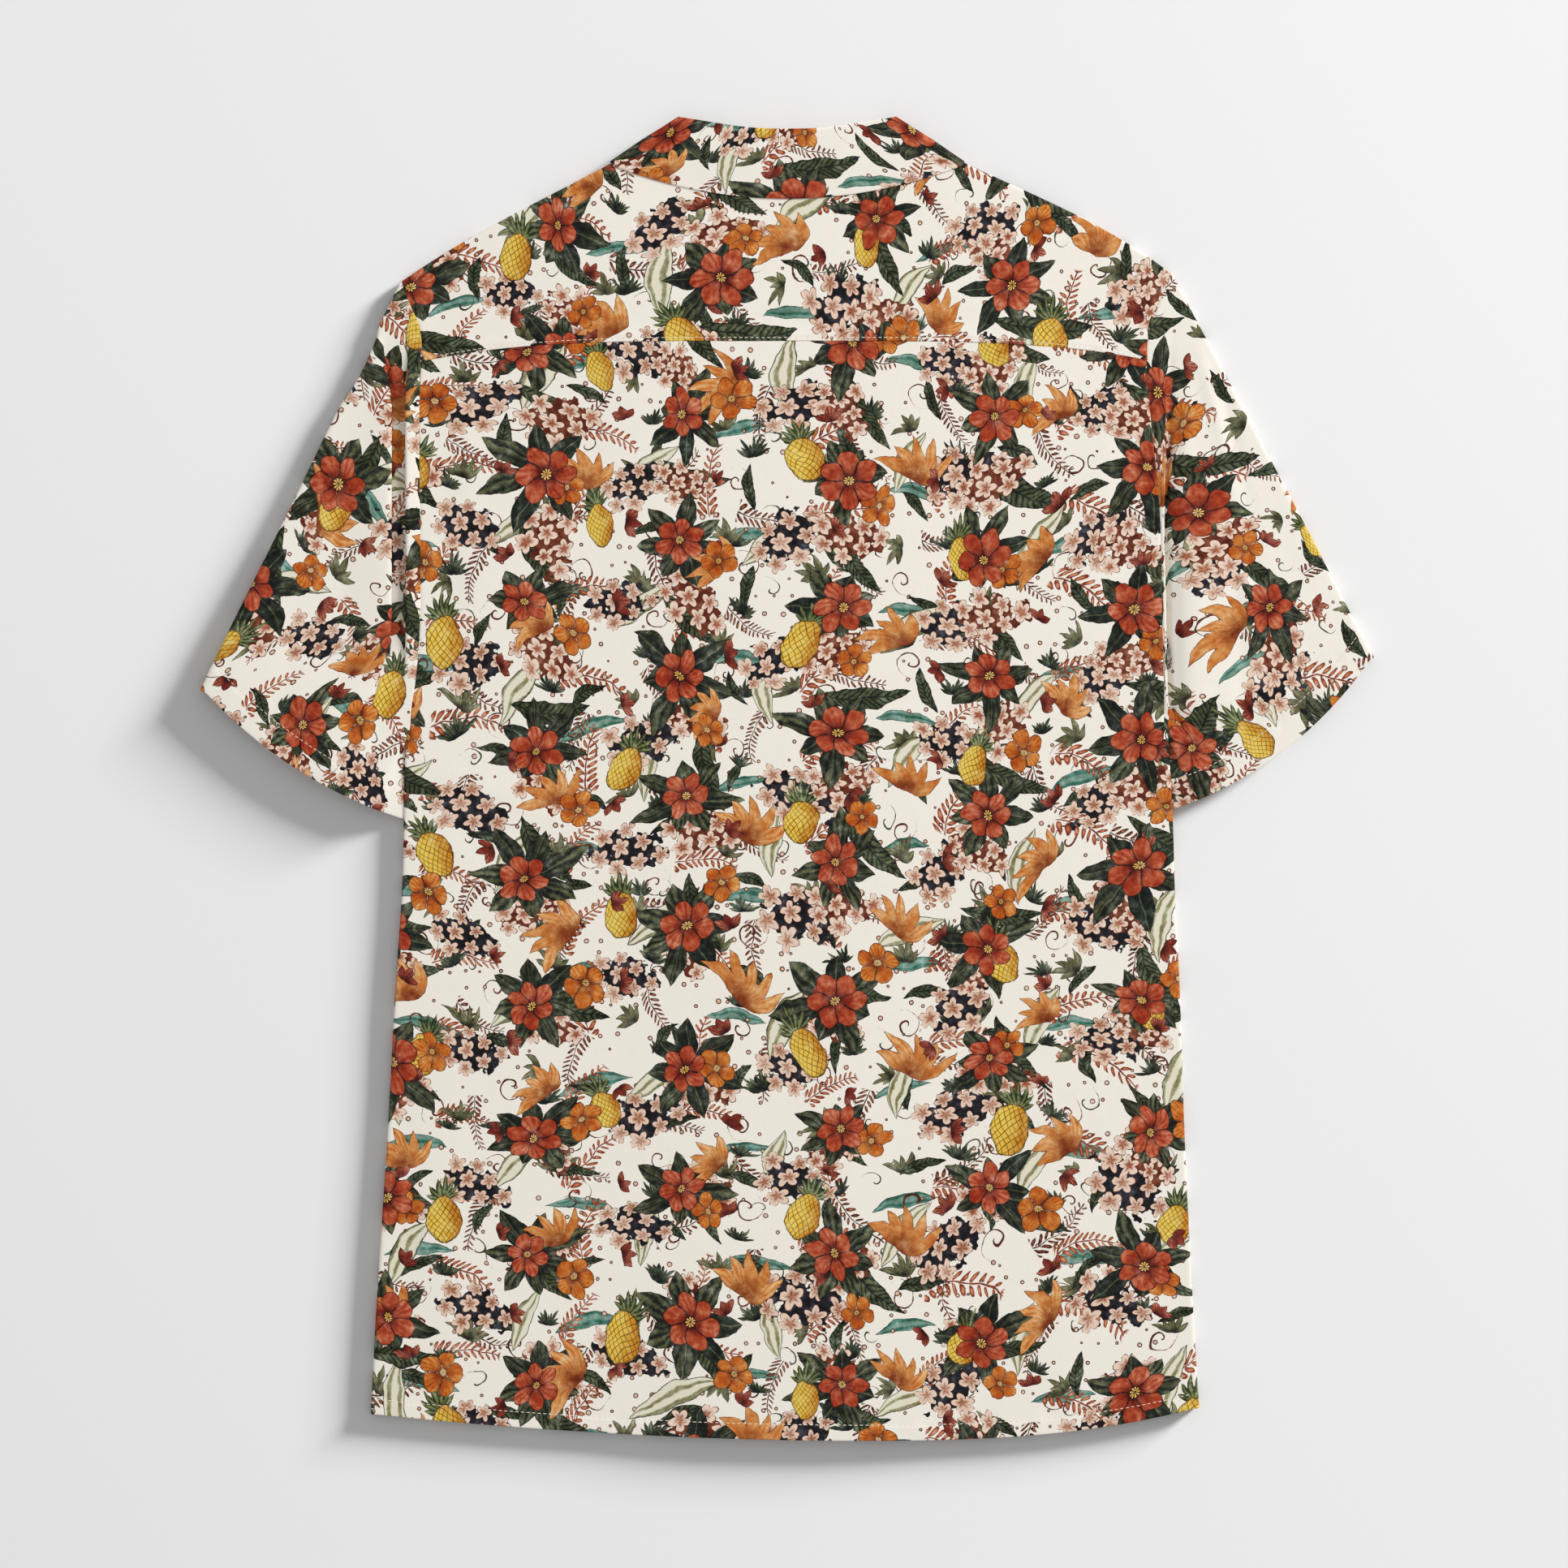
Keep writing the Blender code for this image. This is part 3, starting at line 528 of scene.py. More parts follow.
@dataclass(frozen=True)
class Topstitch:
    """A row of thread stitches along a line on the cloth."""

    length: float = 2.5
    gap: float = 0.75
    width: float = 0.42
    height: float = 0.24
    sunk: float = 0.05
    sides: int = 5
    rings: tuple[Triple, ...] = (  # share of the length, size, rise
        (0, 0.35, -0.5), (0.25, 1, 0.6), (0.75, 1, 0.6), (1, 0.35, -0.5))

    def piece(self, name: str, path: Array, up: Array, thread: Material) -> Object:
        """A seam's stitches: bars end to end along a line, each dipping into the cloth at its ends.

        Args:
            name: the piece's name.
            path: points that the stitches follow.
            up: the cloth's normals there.
            thread: the thread's material.

        Returns:
            The piece.
        """
        along = travelled(path)
        pitch = self.length + self.gap
        starts = np.arange(int(along[-1] // pitch)) * pitch + self.gap / 2
        share, size, rise = np.array(self.rings).T
        at = starts[:, None] + self.length * share
        spot = through(along, path, at)
        normal = unit(through(along, up, at))
        ahead = unit(np.repeat(spot[:, -1:] - spot[:, :1], len(share), axis=1))
        cos, sin = circle(self.sides).T[:, :, None]
        ring = (np.cross(normal, ahead)[:, :, None] * cos * self.width / 2
                + normal[:, :, None] * sin * self.height / 2)
        rise = (rise * self.height - self.sunk)[:, None, None]
        bars = spot[:, :, None] + ring * size[:, None, None] + normal[:, :, None] * rise
        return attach(make_mesh(name, *rods(bars), thread), "root")


@dataclass(frozen=True)
class Hem:
    """A hem's turned-up band: its depth to the stitches, and how it shapes the cloth over it."""

    depth: float = 8.5
    ply: float = 0.62  # from the cloth to the turned-up ply under it
    swell: float = 0.4  # the band stands this much prouder than the cloth above it
    groove: float = 0.28  # the thread pulls the cloth in by this much
    pucker: float = 0.13  # small waves that the thread draws up

    def relief(self, above: Array, along: Array) -> Array:
        """Height that the hem adds at a distance above its edge.

        It is a smooth step, a groove on the stitches, and three sines that fade away from them.

        Args:
            above: distances above the edge.
            along: distances along it.

        Returns:
            The heights.
        """
        from_thread = above - self.depth
        waves = np.sin(along / 1.9) + np.sin(along / 2.9 + 1.3) + np.sin(along / 5.3 + 0.4)
        return (
            self.swell * smooth(from_thread, 2.2, -1.2)
            - self.groove * np.exp(-(from_thread / 0.8) ** 2)
            + self.pucker * waves * np.exp(-(from_thread / 5.0) ** 2)
        )

    def turn_up(self, cloth: Cloth) -> Cloth:
        """Adds the turned-up ply to cloth whose first row is the hem's edge.

        It is the nearest rows moved in along their normals, and a half circle joins it to the edge.

        Args:
            cloth: the cloth.

        Returns:
            The cloth with its ply, whose rows come first.
        """
        middle, at, normal = cloth.middle, cloth.at, cloth.normals()
        covered = np.nonzero(cloth.above < self.depth + 0.6)[0][::-1]
        inner = middle[covered] - normal[covered] * self.ply
        radius = self.ply / 2
        angles = np.radians([-60, -20, 20, 60])[:, None, None]
        arc = (middle[0] + normal[0] * (radius * (np.sin(angles) - 1))
               + unit(middle[0] - middle[1]) * radius * np.cos(angles))
        arc_at = np.repeat(at[:1], len(angles), axis=0)
        cells = cloth.all_cells()
        added = np.ones((len(inner) + len(arc), cells.shape[1]), bool)
        return Cloth(np.concatenate([inner, arc, middle]),
                     np.concatenate([2 * at[0] - at[covered], arc_at, at]),
                     cloth.above, np.vstack([added, cells]), cloth.ring)


EDGE_TUCK = 1.6  # seam edges dip under the next piece over this width
EDGE_DIP = 0.45


def side_dip(x: Array) -> Array:
    """How far a grid dips at its first and last columns, to pass under the sleeves' edges."""
    return EDGE_DIP * smooth(np.minimum(x - x[:, :1], x[:, -1:] - x), EDGE_TUCK, 0)


def folded_edge(stations: int = 15, fullness: float = 0.45) -> Arrays:
    """Section of a folded edge of radius one, from its top down: its height is the turn's sine.

    Args:
        stations: how many points it has, with its top.
        fullness: power of the cosine that gives the way out, below 1 for an edge fuller than round.

    Returns:
        The way out, the height, and the cloth used up to each point, without the top itself.
    """
    turn = np.radians(np.linspace(90, -90, stations))
    out, up = np.clip(np.cos(turn), 0, 1) ** fullness, np.sin(turn)
    run = np.cumsum(np.hypot(np.diff(out), np.diff(up)))
    return out[1:], up[1:], run


EDGE_OUT, EDGE_UP, EDGE_RUN = folded_edge()
ROUND = len(EDGE_OUT)


# ---- the cloth pieces


@dataclass(frozen=True)
class BackPanel:
    """The back from its hem to the yoke seam, wrapped round both side folds."""

    grid_step: float = 3.4
    body: float = 400  # rows are spaced as if the hem were this far from the underarm,
    chest: float = 231  # and the underarm this far from the yoke;
    width: float = 440  # columns, as if it were this wide
    point: float = 5.5  # each side's fold ends in a point this far above the underarm
    hem: Hem = Hem()
    creases: tuple[Crease, ...] = (
        (-206, 232, -196, 40, 13, -0.55, 4), (-188, 214, -176, 70, 11, 0.45, -5),
        (203, 226, 196, 60, 12, -0.5, -3), (186, 238, 181, 96, 10, 0.4, 3),
        (-219, 8, -120, -34, 9, 0.5, 5), (-222, -12, -150, -66, 8, -0.4, 4),
        (218, 12, 138, -40, 9, 0.5, -4), (220, -18, 160, -78, 8, -0.35, -4),
        (-90, 236, -104, 120, 16, 0.35, 6), (62, 240, 74, 90, 18, 0.35, -7),
        (-228, -150, -222, -330, 9, -0.4, 3), (-196, -210, -188, -360, 14, 0.4, -4),
        (226, -140, 231, -340, 9, -0.35, -3), (150, -250, 162, -372, 15, 0.35, 5),
        (-60, -290, -66, -380, 17, 0.35, 3), (40, -120, 10, -330, 26, 0.3, 9),
    )

    @staticmethod
    def levels(low: Array, high: Array, below: Array, above: Array) -> Array:
        """Heights of the rows in columns from low to high.

        They are at shares below of the way to the underarm, and at shares above of the rest.
        """
        lower = low + (CUT.underarm_y - low) * below[:, None]
        return np.vstack([lower, CUT.underarm_y + (high - CUT.underarm_y) * above[:, None]])

    def edge(self, hand: Hand, below: Array, above: Array) -> Array:
        """How far out the flat part of each row goes: to the side fold, or above to the armhole.

        Args:
            hand: the side.
            below: the rows up to the underarm.
            above: the rows from there.

        Returns:
            The distances.
        """
        ends = np.array([CUT.half(hand).hem_corner_y]), np.array([CUT.yoke_end_y])
        y = self.levels(*ends, below, above)
        flat = CUT.side_x(hand, y) - CUT.fold - CUT.low
        return np.where(y <= CUT.underarm_y + TINY, flat, CUT.armhole_x(hand, y))

    def wrap(self, hand: Hand, side: Array) -> Arrays:
        """Cloth round a side fold: each row's folded edge, as high as the row, ending in a point.

        Args:
            hand: the side.
            side: the flat part's last points there.

        Returns:
            The points and their places on the cloth, their columns in the grid's order.
        """
        points = np.repeat(side[:, None], ROUND, axis=1)
        high = CUT.radius + (side[:, 2:] - CUT.top - CUT.lift) / 2
        point = smooth(side[:, 1:2], CUT.underarm_y + self.point, CUT.underarm_y)
        points[..., 0] += hand.value * CUT.radius * EDGE_OUT * point
        points[..., 2] += high * (EDGE_UP - 1)
        at = points[..., :2].copy()
        at[..., 0] = side[:, :1] + hand.value * CUT.radius * EDGE_RUN
        return points[:, ::hand.value], at[:, ::hand.value]

    def cloth(self) -> Cloth:
        """Rows up the back and columns across it, with a folded edge at each side below the arms.

        Returns:
            The cloth, without cells where the sleeves are.
        """
        lower = shares((0, 13, 0.9), (13, 60, 3), (60, self.body, self.grid_step))
        upper = shares((0, 6, 1.0), (6, self.chest - 7, self.grid_step),
                       (self.chest - 7, self.chest, 1.0))[1:]
        across = shares((0, 6, 1.0), (6, self.width - 6, self.grid_step),
                        (self.width - 6, self.width, 1.0))
        left, right = (self.edge(hand, lower, upper) for hand in Hand)
        x = -left + (left + right) * across
        y = self.levels(CUT.hem_y(x[0]), CUT.yoke_seam_y(x[-1]) + EDGE_TUCK, lower, upper)
        above = lower * self.body
        z = CUT.top_z(x, y) + creased(self.creases, x, y)
        z[:len(lower)] += self.hem.relief(above[:, None], x[:len(lower)])
        z -= side_dip(x) * smooth(y, CUT.underarm_y, CUT.underarm_y + 12)
        z -= EDGE_DIP * smooth(CUT.yoke_seam_y(x) - y, EDGE_TUCK, -EDGE_TUCK)
        flat = np.dstack([x, y, z])
        left, left_at = self.wrap(Hand.LEFT, flat[:, 0])
        right, right_at = self.wrap(Hand.RIGHT, flat[:, -1])
        cloth = Cloth(np.concatenate([left, flat, right], axis=1),
                      np.concatenate([left_at, flat[..., :2], right_at], axis=1), above)
        cloth.cells = cloth.all_cells()
        wrapped = np.searchsorted(y[:, 0], CUT.underarm_y + self.point)
        cloth.cells[wrapped:, :ROUND] = cloth.cells[wrapped:, -ROUND:] = False
        return cloth

    def build(self, cotton: Material, thread: Material) -> None:
        """Makes the back with its turned-up hem, and the hem's stitches.

        Args:
            cotton: the printed cloth.
            thread: the stitches' material.
        """
        cloth = self.cloth()
        path, up = (row[ROUND:-ROUND] for row in cloth.seam_line(self.hem.depth))
        piece = self.hem.turn_up(cloth).piece("back", cotton)
        stitches = Topstitch().piece("hem_stitches", path, up, thread)


@dataclass(frozen=True)
class Yoke:
    """The back yoke, from its seam over the shoulder folds and a little way down in front."""

    grid_step: float = 3.4
    height: float = 100  # rows and columns are spaced as if it were this high,
    shoulder: float = 139  # and this wide from the neck to the armhole
    seam: Hem = Hem(depth=1.5, swell=0, groove=0.22, pucker=0.1)
    seam_rise: float = 0.55  # its folded edge lies on the back's
    over: float = 0.3  # and passes the seam by this much
    print_shift: Pair = (71, 38)
    creases: tuple[Crease, ...] = (
        (-150, 262, -92, 338, 12, 0.35, 4), (148, 258, 96, 336, 13, 0.35, -4),
        (-208, 262, -196, 296, 8, -0.4, 0), (207, 262, 194, 300, 8, -0.4, 0),
    )

    def edge(self, hand: Hand, upward: Array) -> Array:
        """How far out each row goes: to the armhole, and at its end to the shoulder's tip.

        Args:
            hand: the side.
            upward: the rows.

        Returns:
            The distances.
        """
        tip = CUT.half(hand).shoulder_tip
        low = CUT.yoke_end_y - self.over
        y = low + (tip[1] - low) * upward[:-1]
        return np.append(CUT.armhole_x(hand, y), tip[0])[:, None]

    def cloth(self) -> Cloth:
        """Rows up from the seam, round the shoulder folds and back underneath, columns across.

        The neck's columns stop at the neckline, so their cells underneath are masked.

        Returns:
            The cloth.
        """
        upward = shares((0, 5, 0.7), (5, self.height, self.grid_step))
        third = shares((0, 6, 1.2), (6, self.shoulder, self.grid_step))
        neck = np.linspace(0, 1, 50)
        spread = np.concatenate([third[:-1], 1 + neck[:-1], 3 - third[::-1]])
        neck_x, tips = CUT.neck_point[0], (-CUT.left.shoulder_tip[0], CUT.right.shoulder_tip[0])
        top_x = np.interp(spread, range(4), (tips[0], -neck_x, neck_x, tips[1]))
        left, right = (self.edge(hand, upward) for hand in Hand)
        x = -left + (left + right) * (top_x - tips[0]) / (tips[1] - tips[0])
        at_neck = CUT.back_neck_y + (CUT.neck_point[1] - CUT.back_neck_y) * (top_x / neck_x) ** 2
        shoulder = np.where(
            top_x < 0, CUT.shoulder_y(Hand.LEFT, -top_x), CUT.shoulder_y(Hand.RIGHT, top_x))
        high = np.where(np.abs(top_x) < neck_x - TINY, at_neck, shoulder)
        low = CUT.yoke_seam_y(x[0]) - self.over
        above = (high - low) * upward[:, None]
        y = low + above
        z = CUT.top_z(x, y) + creased(self.creases, x, y) + self.seam.relief(above, x)
        z += self.seam_rise * smooth(above, 9, 1.0) - side_dip(x)
        flat = np.dstack([x, y, z])
        left, right = (CUT.shoulder_normal(hand) * (hand.value, 1) for hand in Hand)
        out = np.where((top_x < 0)[:, None], left, right)
        last, last_z = flat[-1, :, :2], flat[-1, :, 2]
        half = (last_z - CUT.under_z(*last.T)) / 2
        turn, turn_up, turn_run = (a[:, None, None] for a in (EDGE_OUT, EDGE_UP, EDGE_RUN))
        back = np.linspace(0, CUT.yoke_return, 6)[1:, None, None]
        turned = np.dstack([last + CUT.radius * turn * out, last_z + half * (turn_up[..., 0] - 1)])
        returned = last - back * out
        returned = np.dstack([returned, CUT.under_z(*np.moveaxis(returned, 2, 0))])
        cloth = Cloth(
            np.concatenate([flat, turned, returned]),
            np.concatenate([flat[..., :2], last + CUT.radius * turn_run * out,
                            last + (CUT.radius * EDGE_RUN[-1] + back) * out]) + self.print_shift,
            upward * self.height)
        cloth.cells = cloth.all_cells()
        cloth.cells[len(upward) - 1:, len(third) - 1:len(third) + len(neck) - 2] = False
        return cloth

    def build(self, cotton: Material, thread: Material) -> None:
        """Makes the yoke, its seam's edge turned under, and the stitches just above it.

        Args:
            cotton: the printed cloth.
            thread: the stitches' material.
        """
        cloth = self.cloth()
        path, up = (row[1:-1] for row in cloth.seam_line(self.seam.depth))
        piece = self.seam.turn_up(cloth).piece("yoke", cotton)
        stitches = Topstitch().piece("yoke_stitches", path, up, thread)


@dataclass(frozen=True)
class SleeveFold:
    """A fold beside the armhole, as a section across it at full strength.

    Its points are (out from the seam, height), in the order that the cloth runs.
    """

    section: tuple[Pair, ...]
    edge: float  # how far out the overlapping edge is in the section
    edge_x: float  # and on the shirt, from its middle, where the fold is wide
    narrowest: float  # the edge stays this far out from the seam
    fade: tuple[float, float, float, float]  # its strength rises, is full, and falls at these Y

    def shape(self, seam: Array, out: Array, y: Array, plain: Array) -> Arrays:
        """Folds flat cloth: each point's place along the section, blended in by the strength.

        Heights follow the strength's power of 1.3. The overlapping edge is brought to its own X, a
        shift that dies away towards the section's end, and a fold that this narrows has a lower
        ridge. Where the cloth sinks, the whole fold does too.

        Args:
            seam: the seam's distance from the shirt's middle.
            out: distance out from the seam before folding.
            y: height up the shirt.
            plain: the cloth's height where nothing folds it.

        Returns:
            The distance out and the height after folding, and the extra cloth taken up so far.
        """
        table = np.array(self.section)
        run = travelled(table)
        end = table[-1, 0]
        place = np.clip(out / end, 0, 1) * run[-1]
        across, rise = np.moveaxis(through(run, table, place), -1, 0)
        wide = np.maximum(self.edge_x - seam, self.narrowest) / self.edge
        across = across + (wide - 1) * self.edge * (
            np.clip(across / self.edge, 0, 1) * smooth(across, end, self.edge))
        ridge = np.clip(rise - table[0, 1], 0, None) * smooth(place, run[-1] / 3, run[-1] / 5)
        rise = rise - ridge * np.clip(1 - wide, 0, 1)
        rise = rise * np.clip(plain / (CUT.top + CUT.lift), 0, 1)
        strength = smooth(y, *self.fade[:2]) * smooth(y, *self.fade[:1:-1])
        inside = out < end
        moved = np.where(inside, out + strength * (across - out), out)
        height = np.where(inside, rise, table[-1, 1]) - plain
        height = plain + strength ** 1.3 * smooth(out, end + 60, end) * height
        return moved, height, strength * (place - np.clip(out, 0, end))


LEFT_FOLD = SleeveFold((
    (0, 5.2), (1, 5.7), (3, 6.4), (5.2, 7.1), (6.6, 7.3), (7.5, 6.9), (7.9, 5.7), (7.8, 4.1),
    (8.1, 2.6), (9.4, 1.5), (13.5, 1.2), (18, 1.2), (22, 1.4), (24.2, 1.7), (24.8, 2.3),
    (23.6, 2.9), (20.5, 3.5), (18, 4.3), (16.6, 5.4), (16.5, 6.4), (17.8, 7.1), (21, 7.3),
    (30, 6.7), (44, 5.8)), 16.4, 231, 10, (36, 96, 216, 276))
RIGHT_FOLD = SleeveFold((
    (0, 5.1), (1.6, 5.9), (3.4, 6.8), (5.6, 7.4), (7.6, 7.4), (8.9, 6.9), (9.5, 5.9), (9.1, 4.6),
    (8.4, 3.2), (8, 1.7), (8.8, 0.7), (10.3, 0.6), (11.3, 1.5), (11.7, 3), (12.5, 4.2), (15, 5.7),
    (19, 7.5), (24, 8.2), (32, 7.5), (44, 6.4)), 9.3, 219.8, 1.6, (20, 48, 150, 284))


@dataclass(frozen=True)
class Sleeve:
    """A short sleeve, a flattened tube from the armhole to its hem."""

    hand: Hand
    fold: SleeveFold
    grain: float  # degrees that its print is turned by
    print_shift: Pair
    creases: tuple[Crease, ...]
    hem: Hem = Hem(depth=14.5)
    cuff: float = 145  # width of the hem that its small waves are spaced over
    cuff_z: float = 5  # height of its upper layer at the hem
    inner_z: float = 2.6
    crotch_rise: float = 2.5
    body_gap: float = -0.15  # its inner fold is just under the body's side
    tuck_under: float = 1.3  # its seam edge passes under the body's by this much
    tuck_dip: float = 0.75

    def armhole(self, lower: bool) -> Array:
        """Points up the armhole seam, from the underarm to the shoulder fold.

        Args:
            lower: whether it is the lower layer's.

        Returns:
            The points, with X outwards.
        """
        tip = np.array(CUT.half(self.hand).shoulder_tip)
        if lower:
            end = tip - CUT.shoulder_normal(self.hand) * CUT.yoke_return
            y = np.linspace(CUT.underarm_y + 8, CUT.yoke_end_y - 4, 34)
            top = [end, (tip + end) / 2, tip]
        else:
            y = CUT.underarm_y + steps((2.8, 5, 0.4), (5, 20, 2), (20, 216, 2.6))
            y = np.append(y, np.linspace(244, tip[1], 20)[:-1])
            top = [tip]
        return np.vstack([np.column_stack([CUT.armhole_x(self.hand, y), y]), *top])

    def layer(self, lower: bool) -> Arrays:
        """One layer in plan: lines from the armhole to the hem, the innermost beside the body.

        The rows near the armhole stand at set distances out from it, up to a share of each line.

        Args:
            lower: whether it is the lower one.

        Returns:
            Places with X outwards, shares of the lines, shares of the hem, and distances from it.
        """
        half = CUT.half(self.hand)
        outer_radius, inner_radius = (self.cuff_z - CUT.low) / 2, (self.inner_z - CUT.low) / 2
        inset = self.body_gap + CUT.low + inner_radius
        outer = half.sleeve_tip - CUT.sleeve_normal(self.hand) * (outer_radius + CUT.low)
        inner = CUT.side_x(self.hand, half.sleeve_inner_y) + inset, half.sleeve_inner_y
        start = CUT.side_x(self.hand, CUT.underarm_y), CUT.underarm_y + self.crotch_rise
        root = np.vstack([start, self.armhole(lower)])
        along = travelled(root)
        share = np.sqrt(along / along[-1])
        bulge = (half.cuff_bulge * 4 * share * (1 - share))[:, None]
        cuff = line(inner, outer, share) - beside(inner, outer) * bulge
        length = np.hypot(*(cuff - root).T)
        heading = unit(cuff - root)
        sideways = np.maximum(np.abs(heading[:, 0]), 0.02)
        near = steps((0, 4, 0.7), (4, 12, 0.4), (12, 20, 0.7), (20, 28, 0.35), (28, 44, 1.7))
        most = np.interp(near, (0, 2.5, 8.5, 18, 26, 45), (0, 0.04, 0.15, 0.33, 0.42, 0.54))
        reach = np.minimum(np.outer(near, 1 / sideways), np.outer(most, length))
        reach[:, 0] = np.interp(
            near, (0, 2.5, 5, 8.5, 12, 15, 18, 26, 44), (0, 0.5, 1, 1.5, 2, 2.5, 6, 10, 16))
        band = self.hem.depth + 4
        left = length - band - reach[-1]
        middle = reach[-1] + left * np.linspace(0, 1, 26)[1:, None]
        hem = length - band + band * steps((0, 1, 0.09))[1:, None]
        reach = np.vstack([reach, middle, hem])
        plan = root + heading * reach[..., None]
        first_x, first_y = plan[:, 0, 0], plan[:, 0, 1]
        inset = inset * smooth(first_y, start[1], CUT.underarm_y + 0.3)
        plan[:, 0, 0] = np.maximum(first_x, CUT.side_x(self.hand, first_y) + inset)
        return plan, reach / length, share, length - reach

    def upper_z(self, share: Array, along: Array) -> Array:
        """Height of the upper layer before folding: level, and lower at the hem and inner edge.

        Args:
            share: shares of the hem.
            along: shares of the lines.

        Returns:
            The heights.
        """
        base = CUT.top + (self.cuff_z - CUT.top) * smooth(along, 0.1, 1.0)
        inner = self.inner_z + (base - self.inner_z) * smooth(share, 0.0, 0.15)
        sunk = np.maximum(smooth(along, 0.0, 0.05), smooth(share, 0.19, 0.0)[None])
        return CUT.lift + base + (inner - base) * sunk

    def cloth(self) -> tuple[Cloth, int]:
        """Rings from the hem to the armhole: upper layer, outer fold, lower layer, inner fold.

        The lower layer's place on the cloth is its mirror image in the outer fold.

        Returns:
            The cloth, and the number of columns in its upper layer.
        """
        tip = np.array(CUT.half(self.hand).shoulder_tip)
        top, along, share, left = self.layer(lower=False)
        bottom, _, _, _ = self.layer(lower=True)
        x, y = top[..., 0], top[..., 1]
        seam = np.where(
            y > CUT.underarm_y,
            CUT.armhole_x(self.hand, np.maximum(y, CUT.underarm_y)), CUT.side_x(self.hand, y))
        out, height, taken = self.fold.shape(seam, x - seam, y, self.upper_z(share, along))
        height += creased(self.creases, seam + out, y) * smooth(along, 0.0, 0.15)
        height += self.hem.relief(left, share * self.cuff) * smooth(left, 40, 25)
        upper, upper_at = np.dstack([seam + out, y, height]), np.dstack([x + taken, y])
        lower = np.dstack([bottom, np.full(bottom.shape[:2], CUT.table)])
        outwards = CUT.sleeve_normal(self.hand)
        lower_at = bottom - 2 * ((bottom - tip) @ outwards)[..., None] * outwards
        turn = np.clip(along[:, -1] * 6, 0, 1)[:, None]
        outer = unit(CUT.shoulder_normal(self.hand) * (1 - turn) + outwards * turn)
        widest = (self.inner_z - CUT.low) / 2 + CUT.lift
        folds = [
            self.turn_under(upper[:, -1], upper_at[:, -1], outer, np.inf),
            self.turn_under(upper[:, 0], upper_at[:, 0], np.array([[-1.0, 0.0]]), widest)]
        middle, at = (
            np.concatenate([over, first, under[:, ::-1], last[:, ::-1]], axis=1) * sign
            for over, under, first, last, sign in (
                (upper, lower, folds[0][0], folds[1][0], (self.hand.value, 1, 1)),
                (upper_at, lower_at, folds[0][1], folds[1][1], (self.hand.value, 1))))
        turn = math.radians(self.grain)
        spin = np.array([[math.cos(turn), math.sin(turn)], [-math.sin(turn), math.cos(turn)]])
        at = at @ spin + self.print_shift
        edge, edge_at = self.seam_edge(middle[0], middle[1]), 2 * at[0] - at[1]
        cloth = Cloth(np.concatenate([edge[None], middle])[::-1],
                      np.concatenate([edge_at[None], at])[::-1],
                      left[::-1, left.shape[1] // 2], ring=True)
        return cloth.flipped(1, self.hand.value), top.shape[1]

    @staticmethod
    def turn_under(high: Array, at: Array, out: Array, widest: float) -> Arrays:
        """Folded edge from the upper layer's edge down to the table, in each ring.

        Args:
            high: the upper layer's last points.
            at: their places on the cloth.
            out: the direction in plan that the fold bulges to.
            widest: the most that it bulges by.

        Returns:
            The fold's points and their places on the cloth.
        """
        radius = (high[:, 2:] - CUT.table) / 2
        reach = np.minimum(radius, widest) * EDGE_OUT[:-1]
        plan = high[:, None, :2] + reach[..., None] * out[:, None]
        run = (radius * EDGE_RUN[:-1])[..., None] * out[:, None]
        return np.dstack([plan, CUT.table + radius * (1 + EDGE_UP[:-1])]), at[:, None] + run

    def seam_edge(self, first: Array, second: Array) -> Array:
        """The seam edge before the first two rings, which passes in under the body's.

        Args:
            first: the ring at the seam.
            second: the ring after it.

        Returns:
            The edge's points.
        """
        tucked = 0.15 + 0.85 * smooth(first[:, 1:2] - CUT.underarm_y, 3, 14)
        edge = first - unit(second - first) * (1, 1, 0) * self.tuck_under * tucked
        high = np.clip((first[:, 2] - CUT.low) / CUT.top, 0, 1)
        edge[:, 2] -= self.tuck_dip * high * tucked[:, 0]
        return edge

    def build(self, cotton: Material, thread: Material) -> None:
        """Makes the sleeve with its turned-up hem, and the hem's stitches.

        Args:
            cotton: the printed cloth.
            thread: the stitches' material.
        """
        node = f"sleeve_{self.hand.name.lower()}"
        cloth, upper = self.cloth()
        path, up = (row[::self.hand.value][:upper] for row in cloth.seam_line(self.hem.depth))
        piece = self.hem.turn_up(cloth).piece(node, cotton)
        stitches = Topstitch().piece(f"{node}_stitches", path, up, thread)


SLEEVES = (
    Sleeve(Hand.LEFT, LEFT_FOLD, 36.0, (12.0, 53.0), cuff_z=8.4, creases=(
        (238, 240, 262, 96, 9, -0.5, 3), (262, 232, 300, 104, 12, 0.45, -4),
        (246, 60, 268, -2, 8, 0.6, 3), (232, 48, 246, -14, 6, -0.5, 2),
        (286, 92, 306, 24, 9, -0.45, -2), (318, 96, 326, 46, 8, 0.4, 0),
    )),
    Sleeve(Hand.RIGHT, RIGHT_FOLD, -30.0, (83.0, 11.0), cuff_z=5.4, inner_z=1.6, creases=(
        (240, 252, 262, 164, 4.5, 1.2, 1.5), (246, 246, 267, 160, 4.5, -0.8, 1.5),
        (261, 172, 276, 60, 4.5, 0.9, -1), (266, 162, 282, 58, 5, -0.7, -1),
        (238.5, 232, 238.5, 123, 5, -0.7, 1), (290, 190, 318, 100, 10, 0.4, -4),
        (252, 70, 262, 8, 8, 0.5, 2), (300, 86, 308, 40, 8, -0.4, 0),
    )),
)


